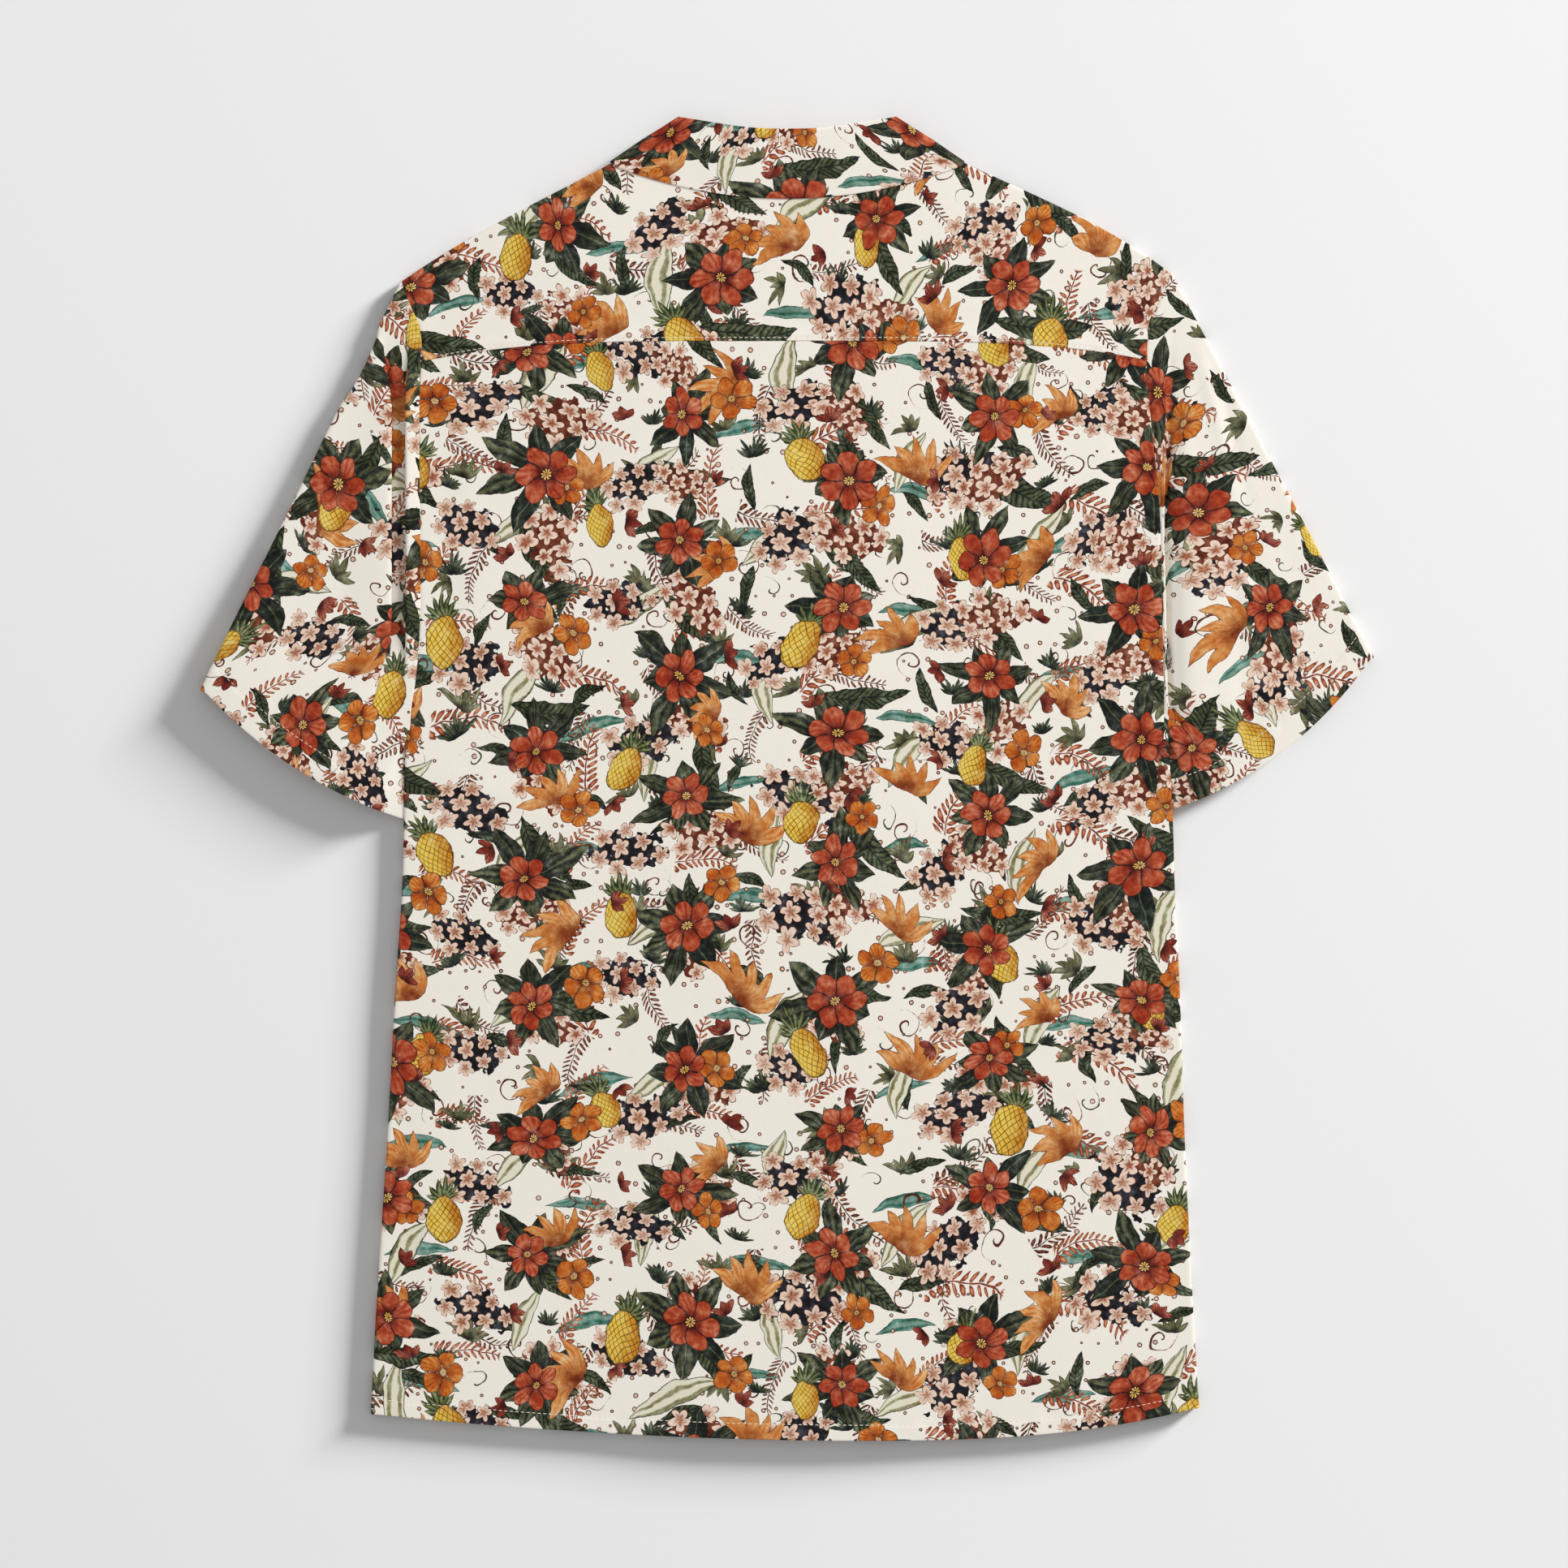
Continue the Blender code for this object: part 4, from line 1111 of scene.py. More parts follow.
@dataclass(frozen=True)
class Front:
    """A front with its lap or its folded-back revers, printed face down on the table."""

    hand: Hand
    lap_rise: float  # how far the laps and buttons under it lift its placket
    print_shift: Pair
    roll_line: tuple[Pair, Pair] = ((1, 220), (50, 326))
    roll_ys: Row = (222, 255, 290, 315.2)
    revers_rise: Row = (0, 2, 0, -12)  # of the revers' edge at those heights
    lap: float = 17
    lap_top_y: float = 212
    lap_share: float = 0.46  # of the armhole, where the lap ends
    roll_shares: Pair = (0.64, 1)  # and where the rows of the roll line are
    lapel_tip_y: float = 300
    gorge: Pair = (33, 316)
    gorge_share: float = 0.35  # of the way from the armhole's top to the shoulder
    neckline_bend: Pair = (64, 335)
    seam_gap: float = 0.3
    body: float = 400  # rows are spaced as if the hem were this far from the underarm,
    width: float = 240  # and columns as if it were this wide
    grid_step: float = 5
    hem: Hem = Hem(swell=0, groove=0, pucker=0)

    def edges(self) -> tuple[Array, Array, Array, int, int]:
        """The outer and inner ends of each row, read smoothly from the few rows that shape them.

        Returns:
            The outer ends, the inner ends, the shares of the way up to the underarm, and the
            numbers of rows before the lap's end and before the roll line's.
        """
        half, lap_x = CUT.half(self.hand), self.roll_line[0][0]
        hem_y = half.hem_corner_y + CUT.front_short
        below = shares((0, 13, 0.9), (13, 60, 4), (60, self.body, self.grid_step))
        beside_lap = np.linspace(0, self.lap_share, 36)[1:]
        y = hem_y + (CUT.underarm_y - hem_y) * below
        side = CUT.side_x(self.hand, y) - CUT.fold - CUT.low - self.seam_gap
        outer = [np.column_stack([side, y])]
        for share in (beside_lap, np.linspace(*self.roll_shares, 20)):
            y = CUT.underarm_y + (CUT.yoke_end_y - CUT.underarm_y) * share
            outer.append(np.column_stack([CUT.armhole_x(self.hand, y), y]))
        last = outer[-1][-1]
        down = CUT.shoulder_normal(self.hand) * (CUT.yoke_return + self.seam_gap)
        shoulder, neck = half.shoulder_tip - down, CUT.neck_point - down
        turn = line(last, shoulder, np.array([self.gorge_share]))[0]
        outer += [line(last, turn, np.linspace(0, 1, 11)[1:]),
                  line(turn, shoulder, np.linspace(0, 1, 17)[1:])]
        start, end = self.roll_line
        up = through(range(4), (np.array(self.roll_ys) - start[1]) / (end[1] - start[1]),
                     np.linspace(0, 3, 30))
        roll, way = line(start, end, up), np.linspace(0, 1, 9)[1:]
        inner = [
            line((lap_x, CUT.hem_y(0) + CUT.front_short), (lap_x, CUT.underarm_y), below),
            line((lap_x, CUT.underarm_y), (lap_x, self.lap_top_y), beside_lap / self.lap_share),
            roll, line(roll[-1], self.neckline_bend, way), line(self.neckline_bend, neck, way)]
        straight = len(below) + len(beside_lap)
        return np.vstack(outer), np.vstack(inner), below, straight, straight + len(roll)

    def flaps(self, inner: Array, rolled: slice, high: Array) -> Arrays:
        """Beyond each row's inner end: the flat lap, and above it the revers, folded back.

        The revers is its flat shape, bent to the gorge at the top, then mirrored in the roll line.

        Args:
            inner: the rows' inner ends.
            rolled: the rows of the roll line.
            high: the cloth's height at its rows.

        Returns:
            The flaps' points and their places on the cloth.
        """
        turn, flat = np.radians(np.linspace(90, -90, 8))[1:], np.linspace(0, 1, 9)[1:, None]
        bends, columns = len(turn), len(turn) + len(flat)
        points, at = np.zeros((len(inner), columns, 3)), np.zeros((len(inner), columns, 2))
        lap = points[:rolled.start]
        lap[..., 0] = inner[:rolled.start, :1] - (self.lap + self.roll_line[0][0]) * (
            np.linspace(0, 1, columns + 1)[1:])
        lap[..., 1] = inner[:rolled.start, 1:]
        lap[..., 2] = CUT.under_z(lap[..., 0], lap[..., 1], self.lap_rise)
        at[:rolled.start] = lap[..., :2]
        along = unit(np.subtract(*self.roll_line[::-1]))
        roll = inner[rolled]
        part = np.linspace(0, 3, len(roll))
        edge_y = roll[:, 1] + np.interp(part, range(4), self.revers_rise)
        edge_y = np.minimum(edge_y, self.lapel_tip_y)
        edge = np.column_stack([np.full(len(roll), -self.lap), edge_y])
        to_gorge = smooth(part, 2.0, 3.0)[:, None]
        offset = edge * (1 - to_gorge) + np.array(self.gorge) * to_gorge - roll
        folded = 2 * (offset @ along)[:, None] * along - offset
        radius = (high - CUT.table)[:, None] / 2
        roll = roll[:, None]
        out = (radius * np.cos(turn))[..., None]
        points[rolled, :bends, :2] = roll + out * beside(*self.roll_line)
        points[rolled, :bends, 2] = CUT.table + radius * (1 + np.sin(turn))
        points[rolled, bends:, :2] = roll + folded[:, None] * flat
        points[rolled, bends:, 2] = CUT.table
        at[rolled, :bends], at[rolled, bends:] = roll, roll + offset[:, None] * flat
        points[rolled.stop:], at[rolled.stop:] = points[rolled.stop - 1], at[rolled.stop - 1]
        return points, at

    def cloth(self) -> Cloth:
        """Rows from the hem to the yoke's front seam, columns from the side to the lap's edge.

        Returns:
            The cloth, without cells beyond the neckline.
        """
        outer, inner, below, straight, roll_end = self.edges()
        share = shares((0, 6, 1.5), (6, self.width - 6, self.grid_step),
                       (self.width - 6, self.width, 2))[None, :, None]
        panel = outer[:, None] + (inner - outer)[:, None] * share
        hem = CUT.hem_y(self.hand.value * panel[0, :, 0]) + CUT.front_short - panel[0, :, 1]
        panel[:len(below), :, 1] += hem * (1 - below[:, None])
        panel = np.dstack([panel, CUT.under_z(panel[..., 0], panel[..., 1], self.lap_rise)])
        rolled = slice(straight, roll_end)
        flap, flap_at = self.flaps(inner, rolled, panel[rolled, -1, 2])
        middle = np.concatenate([panel, flap], axis=1)
        middle[..., 0] *= self.hand.value
        cloth = Cloth(middle, np.concatenate([panel[..., :2], flap_at], axis=1) + self.print_shift,
                      below * self.body)
        cloth.cells = cloth.all_cells()
        columns = panel.shape[1] - 1
        cloth.cells[straight - 1, columns:] = cloth.cells[roll_end - 1:, columns:] = False
        return cloth.flipped(1, self.hand.value)

    def build(self, cotton: Material) -> None:
        """Makes the front with its turned-up hem.

        Args:
            cotton: the printed cloth.
        """
        node = f"front_{self.hand.name.lower()}"
        piece = self.hem.turn_up(self.cloth()).piece(node, cotton, faced=True)


FRONTS = (Front(Hand.LEFT, 2.7, (35.0, 20.0)), Front(Hand.RIGHT, 4.2, (120.0, 85.0)))


@dataclass(frozen=True)
class Collar:
    """The one-piece collar: up its stand, over its fold and down its fall, all round the neck."""

    fold_middle_y: float = 377.2
    leaf_middle_y: float = 338
    seam_gap: float = 0.3
    # from the corner on top to the end underneath
    under_seam: tuple[Pair, ...] = ((84.7, 365.8), (74, 350.5), (54, 327))
    under_fold: tuple[Pair, ...] = ((61.6, 381.6), (56, 354), (50.8, 328))
    under_edge: tuple[Pair, ...] = ((101.6, 357), (107.5, 317), (104, 277))
    thickness: float = 1  # two layers and a lining
    print_shift: Pair = (24, 96)
    settle: float = 1  # the fall's edge comes down to the yoke by this much
    lean: float = 0.85  # how far the fold has come out to its side at each corner
    creases: tuple[Crease, ...] = (
        (-52, 378, -58, 344, 7, -0.25, 2), (30, 379, 34, 346, 9, 0.2, -2),
        (66, 378, 80, 352, 6, -0.25, 1),
    )

    @property
    def centre_z(self) -> float:
        """Middle height, which its sections turn about."""
        return CUT.low + CUT.fold + CUT.neck_rise

    def half(self) -> tuple[Array, int]:
        """The right half's sections, each from the seam over the fold to the fall's outer edge.

        They run along the top, half a turn about the side fold, then on underneath. Every point
        turns about the middle height at its own radius, and near the fold it leans out to the side.

        Returns:
            A grid of sections by points, and the number of points down the fall.
        """
        on_top = np.linspace(0, 1, 34)
        turn = np.linspace(0, np.pi, 19)[1:-1]
        below = np.linspace(0, 1, 30)[1:]
        turns = np.concatenate([0 * on_top, turn, np.full(len(below), np.pi)])
        gathered = np.where(turns > 0, np.cos(turns) > 0, 0.0)
        gathered[:len(on_top)] = smooth(on_top, 0.2, 1.0)
        lines = []
        for start_y, under in ((CUT.back_neck_y + self.seam_gap, self.under_seam),
                               (self.fold_middle_y, self.under_fold),
                               (self.leaf_middle_y, self.under_edge)):
            x, y = under[0]
            top = np.column_stack([x * on_top, start_y + (y - start_y) * on_top ** 2])
            lines.append(np.vstack([top, np.tile((x, y), (len(turn), 1)), bow(under, below)]))
        seam, fold, edge = lines
        seam = seam + unit(fold - seam) * (2 * self.seam_gap)
        out = (CUT.solid - self.thickness) / 2
        stand, fall = CUT.fold, CUT.fold + CUT.neck_rise + out
        reach = unit(fold - edge) * (CUT.neck_rise / 2 + out)
        sections = [(seam + (fold - seam) * share, stand, share) for share in np.linspace(0, 1, 12)]
        for angle in np.radians(np.linspace(-90, 90, 12))[1:-1]:
            rise = (1 + np.sin(angle)) / 2
            sections.append((fold + reach * np.cos(angle), stand + (fall - stand) * rise, 1.0))
        down = shares((0, 40, 2.6), (40, 44, 0.5))
        for share, near in zip(down, smooth(down, 0.45, 0.0)):
            drop = self.settle * smooth(share, 0.45, 1.0) * (np.cos(turns) > -0.5)
            sections.append((fold + (edge - fold) * share, fall - drop, near))
        side = beside(self.under_fold[0], self.under_edge[0])
        columns = []
        for plan, radius, near_fold in sections:
            lean = self.lean * near_fold * gathered
            aside = radius * (lean + (1 - lean) * np.sin(turns))
            columns.append(np.column_stack(
                [plan + aside[:, None] * side, self.centre_z + radius * np.cos(turns)]))
        return np.stack(columns, axis=1), len(down)

    def build(self, cotton: Material) -> None:
        """Makes the collar: both halves, creased on top, and thinner towards its outer edge.

        Args:
            cotton: the printed cloth.
        """
        right, fall = self.half()
        middle = np.concatenate([right[:0:-1] * (-1, 1, 1), right])
        on_top = middle[..., 2] > self.centre_z
        middle[..., 2] += creased(self.creases, middle[..., 0], middle[..., 1]) * on_top
        u, v = travelled(middle[:, -fall // 2]), travelled(middle[len(middle) // 2])
        at = np.dstack(np.broadcast_arrays((u - u[-1] / 2)[:, None], -v[None])) + self.print_shift
        from_rim = np.minimum(v[-1] - v, 9)
        thickness = self.thickness * (0.35 + 0.65 * np.sqrt(smooth(from_rim, -0.2, 1.1)))
        piece = Cloth(middle[::-1], at[::-1]).piece("collar", cotton, True, thickness)


@dataclass(frozen=True)
class Buttons:
    """Four-holed buttons, face down under the placket, each with its thread."""

    ys: Row = (205, 105, 5, -95, -195)
    profile: tuple[Pair, ...] = (
        (3.1, 0.55), (3.5, 0.47), (3.8, 0.25), (4.1, 0.06), (4.5, 0), (5.1, 0), (5.45, 0.1),
        (5.68, 0.35), (5.75, 0.7), (5.75, 1.55), (5.66, 1.95), (5.4, 2.25), (5, 2.4))
    sides: int = 64
    hole_out: float = 1.25  # from the middle to each hole's middle, in X and in Y
    hole: float = 0.62
    drill: Pair = (-1, 4)  # the ends of what cuts the holes
    thread: float = 0.34
    bar: tuple[Triple, ...] = (  # from hole to hole, in shares of hole_out
        (-1, 1, 2.4), (-1, 1, 0.66), (-0.86, 0.86, 0.44), (0, 0, 0.36),
        (0.86, -0.86, 0.44), (1, -1, 0.66), (1, -1, 2.4))
    shank: float = 1.5
    shank_zs: Row = (2.3, 2.5, 2.75)

    def disc(self, name: str, y: float, shell: Material) -> Object:
        """One button: its profile turned about its middle, less four drilled holes.

        Args:
            name: its name.
            y: its place up the placket.
            shell: its material.

        Returns:
            The button.
        """
        rings = [np.column_stack([circle(self.sides) * out + (0, y), np.full(self.sides, z)])
                 for out, z in self.profile]
        disc = make_mesh(name, *rods(np.array([rings])))
        corners = np.array([(1, 1), (-1, 1), (-1, -1), (1, -1)]) * self.hole_out + (0, y)
        plan = corners[:, None] + circle(16) * self.hole
        ends = [np.dstack([plan, np.full(plan.shape[:2], z)]) for z in self.drill]
        cutter = make_mesh("drill", *rods(np.stack(ends, axis=1)))
        cut = disc.modifiers.new("holes", "BOOLEAN")
        cut.operation, cut.solver, cut.object = "DIFFERENCE", "EXACT", cutter
        drilled = bpy.data.meshes.new_from_object(
            disc.evaluated_get(bpy.context.evaluated_depsgraph_get()))
        disc.modifiers.clear()
        disc.data = drilled
        bpy.data.objects.remove(cutter)
        drilled.materials.clear()
        drilled.materials.append(shell)
        return disc

    def threads(self, thread: Material) -> None:
        """Two bars of thread across each face, down through the holes, and the shank behind them.

        A bar follows a path that leaves one hole, crosses the face and goes into the opposite hole.

        Args:
            thread: their material.
        """
        path = np.array(self.bar) * (self.hole_out, self.hole_out, 1)
        knots, at = range(len(path)), np.linspace(0, len(path) - 1, 25)
        bars = [
            self.tube(through(knots, path * (side, 1, 1), at) + (0, y, lower), self.thread)
            for y in self.ys for side, lower in ((1, 0), (-1, 0.12))]
        shanks = [
            self.tube(np.array([(0, y, z) for z in self.shank_zs]), self.shank) for y in self.ys]
        (points, faces), (more, ends) = rods(np.array(bars)), rods(np.array(shanks))
        faces += [array + len(points) for array in ends]
        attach(make_mesh("button_threads", np.concatenate([points, more]), faces, thread), "root")

    @staticmethod
    def tube(path: Array, radius: float) -> Array:
        """Rings of eight points about a path, in frames from its direction and a fixed sideways.

        Args:
            path: the points.
            radius: the rings'.

        Returns:
            The rings.
        """
        ahead = unit(np.gradient(path, axis=0))
        side = unit(np.cross(ahead, (0.31, 0.95, 0.05)))
        cos, sin = circle(8).T[:, :, None]
        around = side[:, None] * cos + np.cross(side, ahead)[:, None] * sin
        return path[:, None] + around * radius

    def build(self, shell: Material, thread: Material) -> None:
        """Makes the buttons and their threads.

        Args:
            shell: the buttons' material.
            thread: the threads'.
        """
        for number, y in enumerate(self.ys, start=1):
            disc = self.disc(f"button_{number}_drilled", y, shell)
            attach(disc, "root")
            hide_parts(f"button_{number}")
        self.threads(thread)


# ---- shader maths


Value = "Field | float"


class Field:
    """A number in a material: a socket times a gain plus an offset.

    Python's arithmetic on it adds Math nodes. Constants only change the gain and the offset, and
    these become one Multiply Add node where another kind of node needs the number itself.
    """

    def __init__(self, shader: "Shader", socket: Socket, gain: float = 1.0,
                 offset: float = 0) -> None:
        """Wraps an output socket of one of the shader's nodes."""
        self.shader, self.socket, self.gain, self.offset = shader, socket, gain, offset

    def settled(self) -> Socket:
        """Socket of the number itself, after its gain and offset.

        Returns:
            The socket.
        """
        if self.gain != 1.0 or self.offset != 0.0:
            self.socket = self.shader.math(
                "MULTIPLY_ADD", self.socket, self.gain, self.offset).socket
            self.gain, self.offset = 1.0, 0.0
        return self.socket

    def math(self, operation: str, *others: Value) -> "Field":
        """This number and others through one Math node."""
        return self.shader.math(operation, self, *others)

    def __add__(self, other: Value) -> "Field":
        """self + other

        Args:
            other: a constant or a field.

        Returns:
            The sum.
        """
        if not isinstance(other, Field):
            return Field(self.shader, self.socket, self.gain, self.offset + other)
        total = self.shader.math("MULTIPLY_ADD", self.socket, self.gain / other.gain, other.socket)
        return Field(self.shader, total.socket, other.gain, self.offset + other.offset)

    __radd__ = __add__

    def __sub__(self, other: Value) -> "Field":
        """self - other"""
        return self + (-other)

    def __rsub__(self, other: float) -> "Field":
        """other - self"""
        return -self + other

    def __mul__(self, other: Value) -> "Field":
        """self * other

        Args:
            other: a constant or a field.

        Returns:
            The product.
        """
        if not isinstance(other, Field):
            return Field(self.shader, self.socket, self.gain * other, self.offset * other)
        for field in (self, other):
            if field.offset:
                field.settled()
        product = self.shader.math("MULTIPLY", self.socket, other.socket)
        return Field(self.shader, product.socket, self.gain * other.gain)

    __rmul__ = __mul__

    def __truediv__(self, other: Value) -> "Field":
        """self / other"""
        return self.math("DIVIDE", other) if isinstance(other, Field) else self * (1.0 / other)

    def __rtruediv__(self, other: float) -> "Field":
        """other / self"""
        return self.shader.math("DIVIDE", other, self)

    def __mod__(self, other: Value) -> "Field":
        """self modulo other, never below zero"""
        return self.math("FLOORED_MODULO", other)

    def __neg__(self) -> "Field":
        """-self"""
        return self * -1.0

    def __abs__(self) -> "Field":
        """Size of the number without its sign.

        Returns:
            The size.
        """
        if self.offset:
            return self.math("ABSOLUTE")
        return self.shader.math("ABSOLUTE", self.socket) * abs(self.gain)

    def sin(self) -> "Field":
        """Sine of an angle in radians."""
        return self.math("SINE")

    def least(self, other: Value) -> "Field":
        """The smaller of the two."""
        return self.math("MINIMUM", other)

    def most(self, other: Value) -> "Field":
        """The larger of the two."""
        return self.math("MAXIMUM", other)

    def between(self, start: float, end: float, low: float = 0.0, high: float = 1.0) -> "Field":
        """low at start and high at end, with level ends, by one Map Range node.

        Args:
            start: where it is low.
            end: where it is high.
            low: the first value.
            high: the last.

        Returns:
            The result.
        """
        start, end = ((value - self.offset) / self.gain for value in (start, end))
        node = self.shader.node(
            "MapRange", {"Value": self.socket, "From Min": start, "From Max": end,
                         "To Min": low, "To Max": high}, interpolation_type="SMOOTHSTEP")
        return Field(self.shader, node.outputs["Result"])


@dataclass(frozen=True)
class Place:
    """A place on the cloth or in a motif in millimetres, as a vector socket."""

    shader: "Shader"
    socket: Socket

    def math(self, operation: str, *others: object, scale: "Value | None" = None) -> "Place":
        """The place and others through one Vector Math node.

        Args:
            operation: what the node does.
            *others: its other vectors.
            scale: its number, if it takes one.

        Returns:
            The result.
        """
        sockets = dict(enumerate((self.socket, *others)))
        if scale is not None:
            sockets["Scale"] = scale
        node = self.shader.node("VectorMath", sockets, operation=operation)
        return Place(self.shader, node.outputs[0])

    def scaled(self, by: Pair, plus: Pair = (0.0, 0.0)) -> "Place":
        """Each part times a constant, plus another."""
        return self.math("MULTIPLY_ADD", (*by, 0.0), (*plus, 0.0))

    def turned(self, radians: Value) -> "Place":
        """The same place seen in a frame that is turned by an angle.

        Args:
            radians: the angle.

        Returns:
            The place.
        """
        node = self.shader.node("VectorRotate", {"Vector": self.socket, "Angle": radians},
                                rotation_type="Z_AXIS", invert=True)
        return Place(self.shader, node.outputs[0])

    def cells(self, size: Pair, start: Pair = (0.0, 0.0)) -> tuple["Place", "Place"]:
        """Cuts the cloth into cells, each column half a cell above the last.

        Args:
            size: a cell's, in millimetres.
            start: where the first cell begins.

        Returns:
            The cell's number, the floor of the place over the cell's size, and that place in cells.
        """
        across, up, _ = self.scaled(
            (1 / size[0], 1 / size[1]), (-start[0] / size[0], -start[1] / size[1])).parts()
        place = self.shader.place(across, up + across.math("FLOOR") * 0.5)
        return place.math("FLOOR"), place

    def parts(self) -> tuple[Field, Field, Field]:
        """X, Y and Z."""
        return self.shader.split(self.socket)

    def away(self) -> Field:
        """Distance from the origin."""
        node = self.shader.node("VectorMath", {0: self.socket}, operation="LENGTH")
        return Field(self.shader, node.outputs["Value"])


class Shader:
    """Builds the nodes of one material."""

    def __init__(self, name: str) -> None:
        """Makes an empty material.

        Args:
            name: its name.
        """
        self.material = bpy.data.materials.new(name)
        self.material.use_nodes = True
        self.tree = self.material.node_tree
        self.tree.nodes.clear()

    def node(self, kind: str, sockets: dict[str | int, object],
             **settings: object) -> bpy.types.Node:
        """Adds a node.

        Args:
            kind: its type, as Blender names it after "ShaderNode".
            sockets: what each named or numbered input gets, a constant, a Field or a socket.
            **settings: properties that are set before its sockets.

        Returns:
            The node.
        """
        node = self.tree.nodes.new(f"ShaderNode{kind}")
        for name, value in settings.items():
            setattr(node, name, value)
        for name, value in sockets.items():
            self.plug(node.inputs[name], value)
        return node

    def plug(self, socket: Socket, value: object) -> None:
        """Gives an input its value.

        Args:
            socket: the input.
            value: a constant, or a Field, a Place or a socket that is linked to it.
        """
        if isinstance(value, Field):
            value = value.settled()
        elif isinstance(value, Place):
            value = value.socket
        if isinstance(value, Socket):
            self.tree.links.new(value, socket)
        elif isinstance(value, tuple) and socket.type == "RGBA":
            socket.default_value = (*value, 1.0)
        else:
            socket.default_value = value

    def math(self, operation: str, *values: object) -> Field:
        """One Math node over numbers and fields."""
        node = self.node("Math", dict(enumerate(values)), operation=operation)
        return Field(self, node.outputs[0])

    def place(self, x: Value, y: Value) -> Place:
        """A place from its two parts."""
        return Place(self, self.node("CombineXYZ", {"X": x, "Y": y}).outputs[0])

    def mix(self, under: object, over: object, share: Value) -> Socket:
        """Colour over another by a share, through one Mix node."""
        return self.node("Mix", {0: share, 6: under, 7: over}, data_type="RGBA").outputs[2]

    def noise(self, at: Place, size: float, detail: float = 2.0,
              rough: float = 0.5) -> tuple[Field, Place]:
        """Soft noise on the cloth.

        Args:
            at: where it is read.
            size: its features' size in millimetres.
            detail: how many finer noises are laid over it.
            rough: how strong they are.

        Returns:
            The noise as one number, and as three in a vector.
        """
        node = self.node("TexNoise", {"Vector": at, "Scale": 1.0 / size, "Detail": detail,
                                      "Roughness": rough}, noise_dimensions="2D")
        return Field(self, node.outputs["Fac"]), Place(self, node.outputs["Color"])

    def chances(self, cell: Place, seed: float) -> Place:
        """Three chance numbers from 0 to 1 for a cell."""
        node = self.node("TexWhiteNoise", {"Vector": cell, "W": seed}, noise_dimensions="4D")
        return Place(self, node.outputs["Color"])

    def split(self, colour: Socket) -> tuple[Field, Field, Field]:
        """A colour's or a vector's three numbers."""
        node = self.node("SeparateXYZ", {0: colour})
        return tuple(Field(self, output) for output in node.outputs)

    def cloth(self) -> Place:
        """Place on the uncut cloth in millimetres."""
        uv = self.node("UVMap", {}, uv_map=CLOTH_MAP).outputs[0]
        return Place(self, uv).math("SCALE", scale=1.0 / METRES)

    def finish(self, sockets: dict[str, object]) -> Material:
        """Ends the material in a Principled BSDF with these inputs.

        Args:
            sockets: the inputs.

        Returns:
            The material.
        """
        surface = self.node("BsdfPrincipled", sockets)
        self.node("OutputMaterial", {"Surface": surface.outputs[0]})
        log.info("%s has %d nodes", self.material.name, len(self.tree.nodes))
        return self.material


def srgb(red: int, green: int, blue: int) -> Colour:
    """Linear colour of display values from 0 to 255.

    Args:
        red: the red value.
        green: the green one.
        blue: the blue one.

    Returns:
        The colour.
    """
    return tuple(
        v / 12.92 if v <= 0.04045 else ((v + 0.055) / 1.055) ** 2.4
        for v in (red / 255, green / 255, blue / 255))


# ---- the print


@dataclass(frozen=True)
class Repeat:
    """Where a motif comes again: columns of cells, each column half a cell above the one before."""

    cell: Pair
    start: Pair
    seed: float
    jitter: float = 0
    lean: float = 0  # radians that it is turned by
    sway: float = 3.1  # and the most that chance adds, either way
    sizes: Pair = (0.85, 1.1)

    def spot(self, at: Place) -> tuple[Place, Field, Field]:
        """Finds the nearest cell's motif.

        Chance numbers, the same again after three columns and three rows, move, turn and scale it.

        Args:
            at: a place on the cloth.

        Returns:
            The place seen from the motif, and two of its chance numbers.
        """
        number, cells = at.cells(self.cell, self.start)
        chance = at.shader.chances(number.math("MODULO", (3.0, 3.0, 1.0)), self.seed)
        place = cells.math("SUBTRACT", number).scaled(
            self.cell, (self.jitter - self.cell[0] / 2, self.jitter - self.cell[1] / 2))
        if self.jitter:
            shift = (-2 * self.jitter, -2 * self.jitter, 0.0)
            place = chance.math("MULTIPLY_ADD", shift, place)
        a, b, c = chance.parts()
        if self.sway:
            place = place.turned(c * (2 * self.sway) + (self.lean - self.sway))
        elif self.lean:
            place = place.turned(self.lean)
        if self.sizes[0] != self.sizes[1]:
            size = a * (1 / self.sizes[1] - 1 / self.sizes[0]) + 1 / self.sizes[0]
            place = place.math("SCALE", scale=size)
        return place, b, c


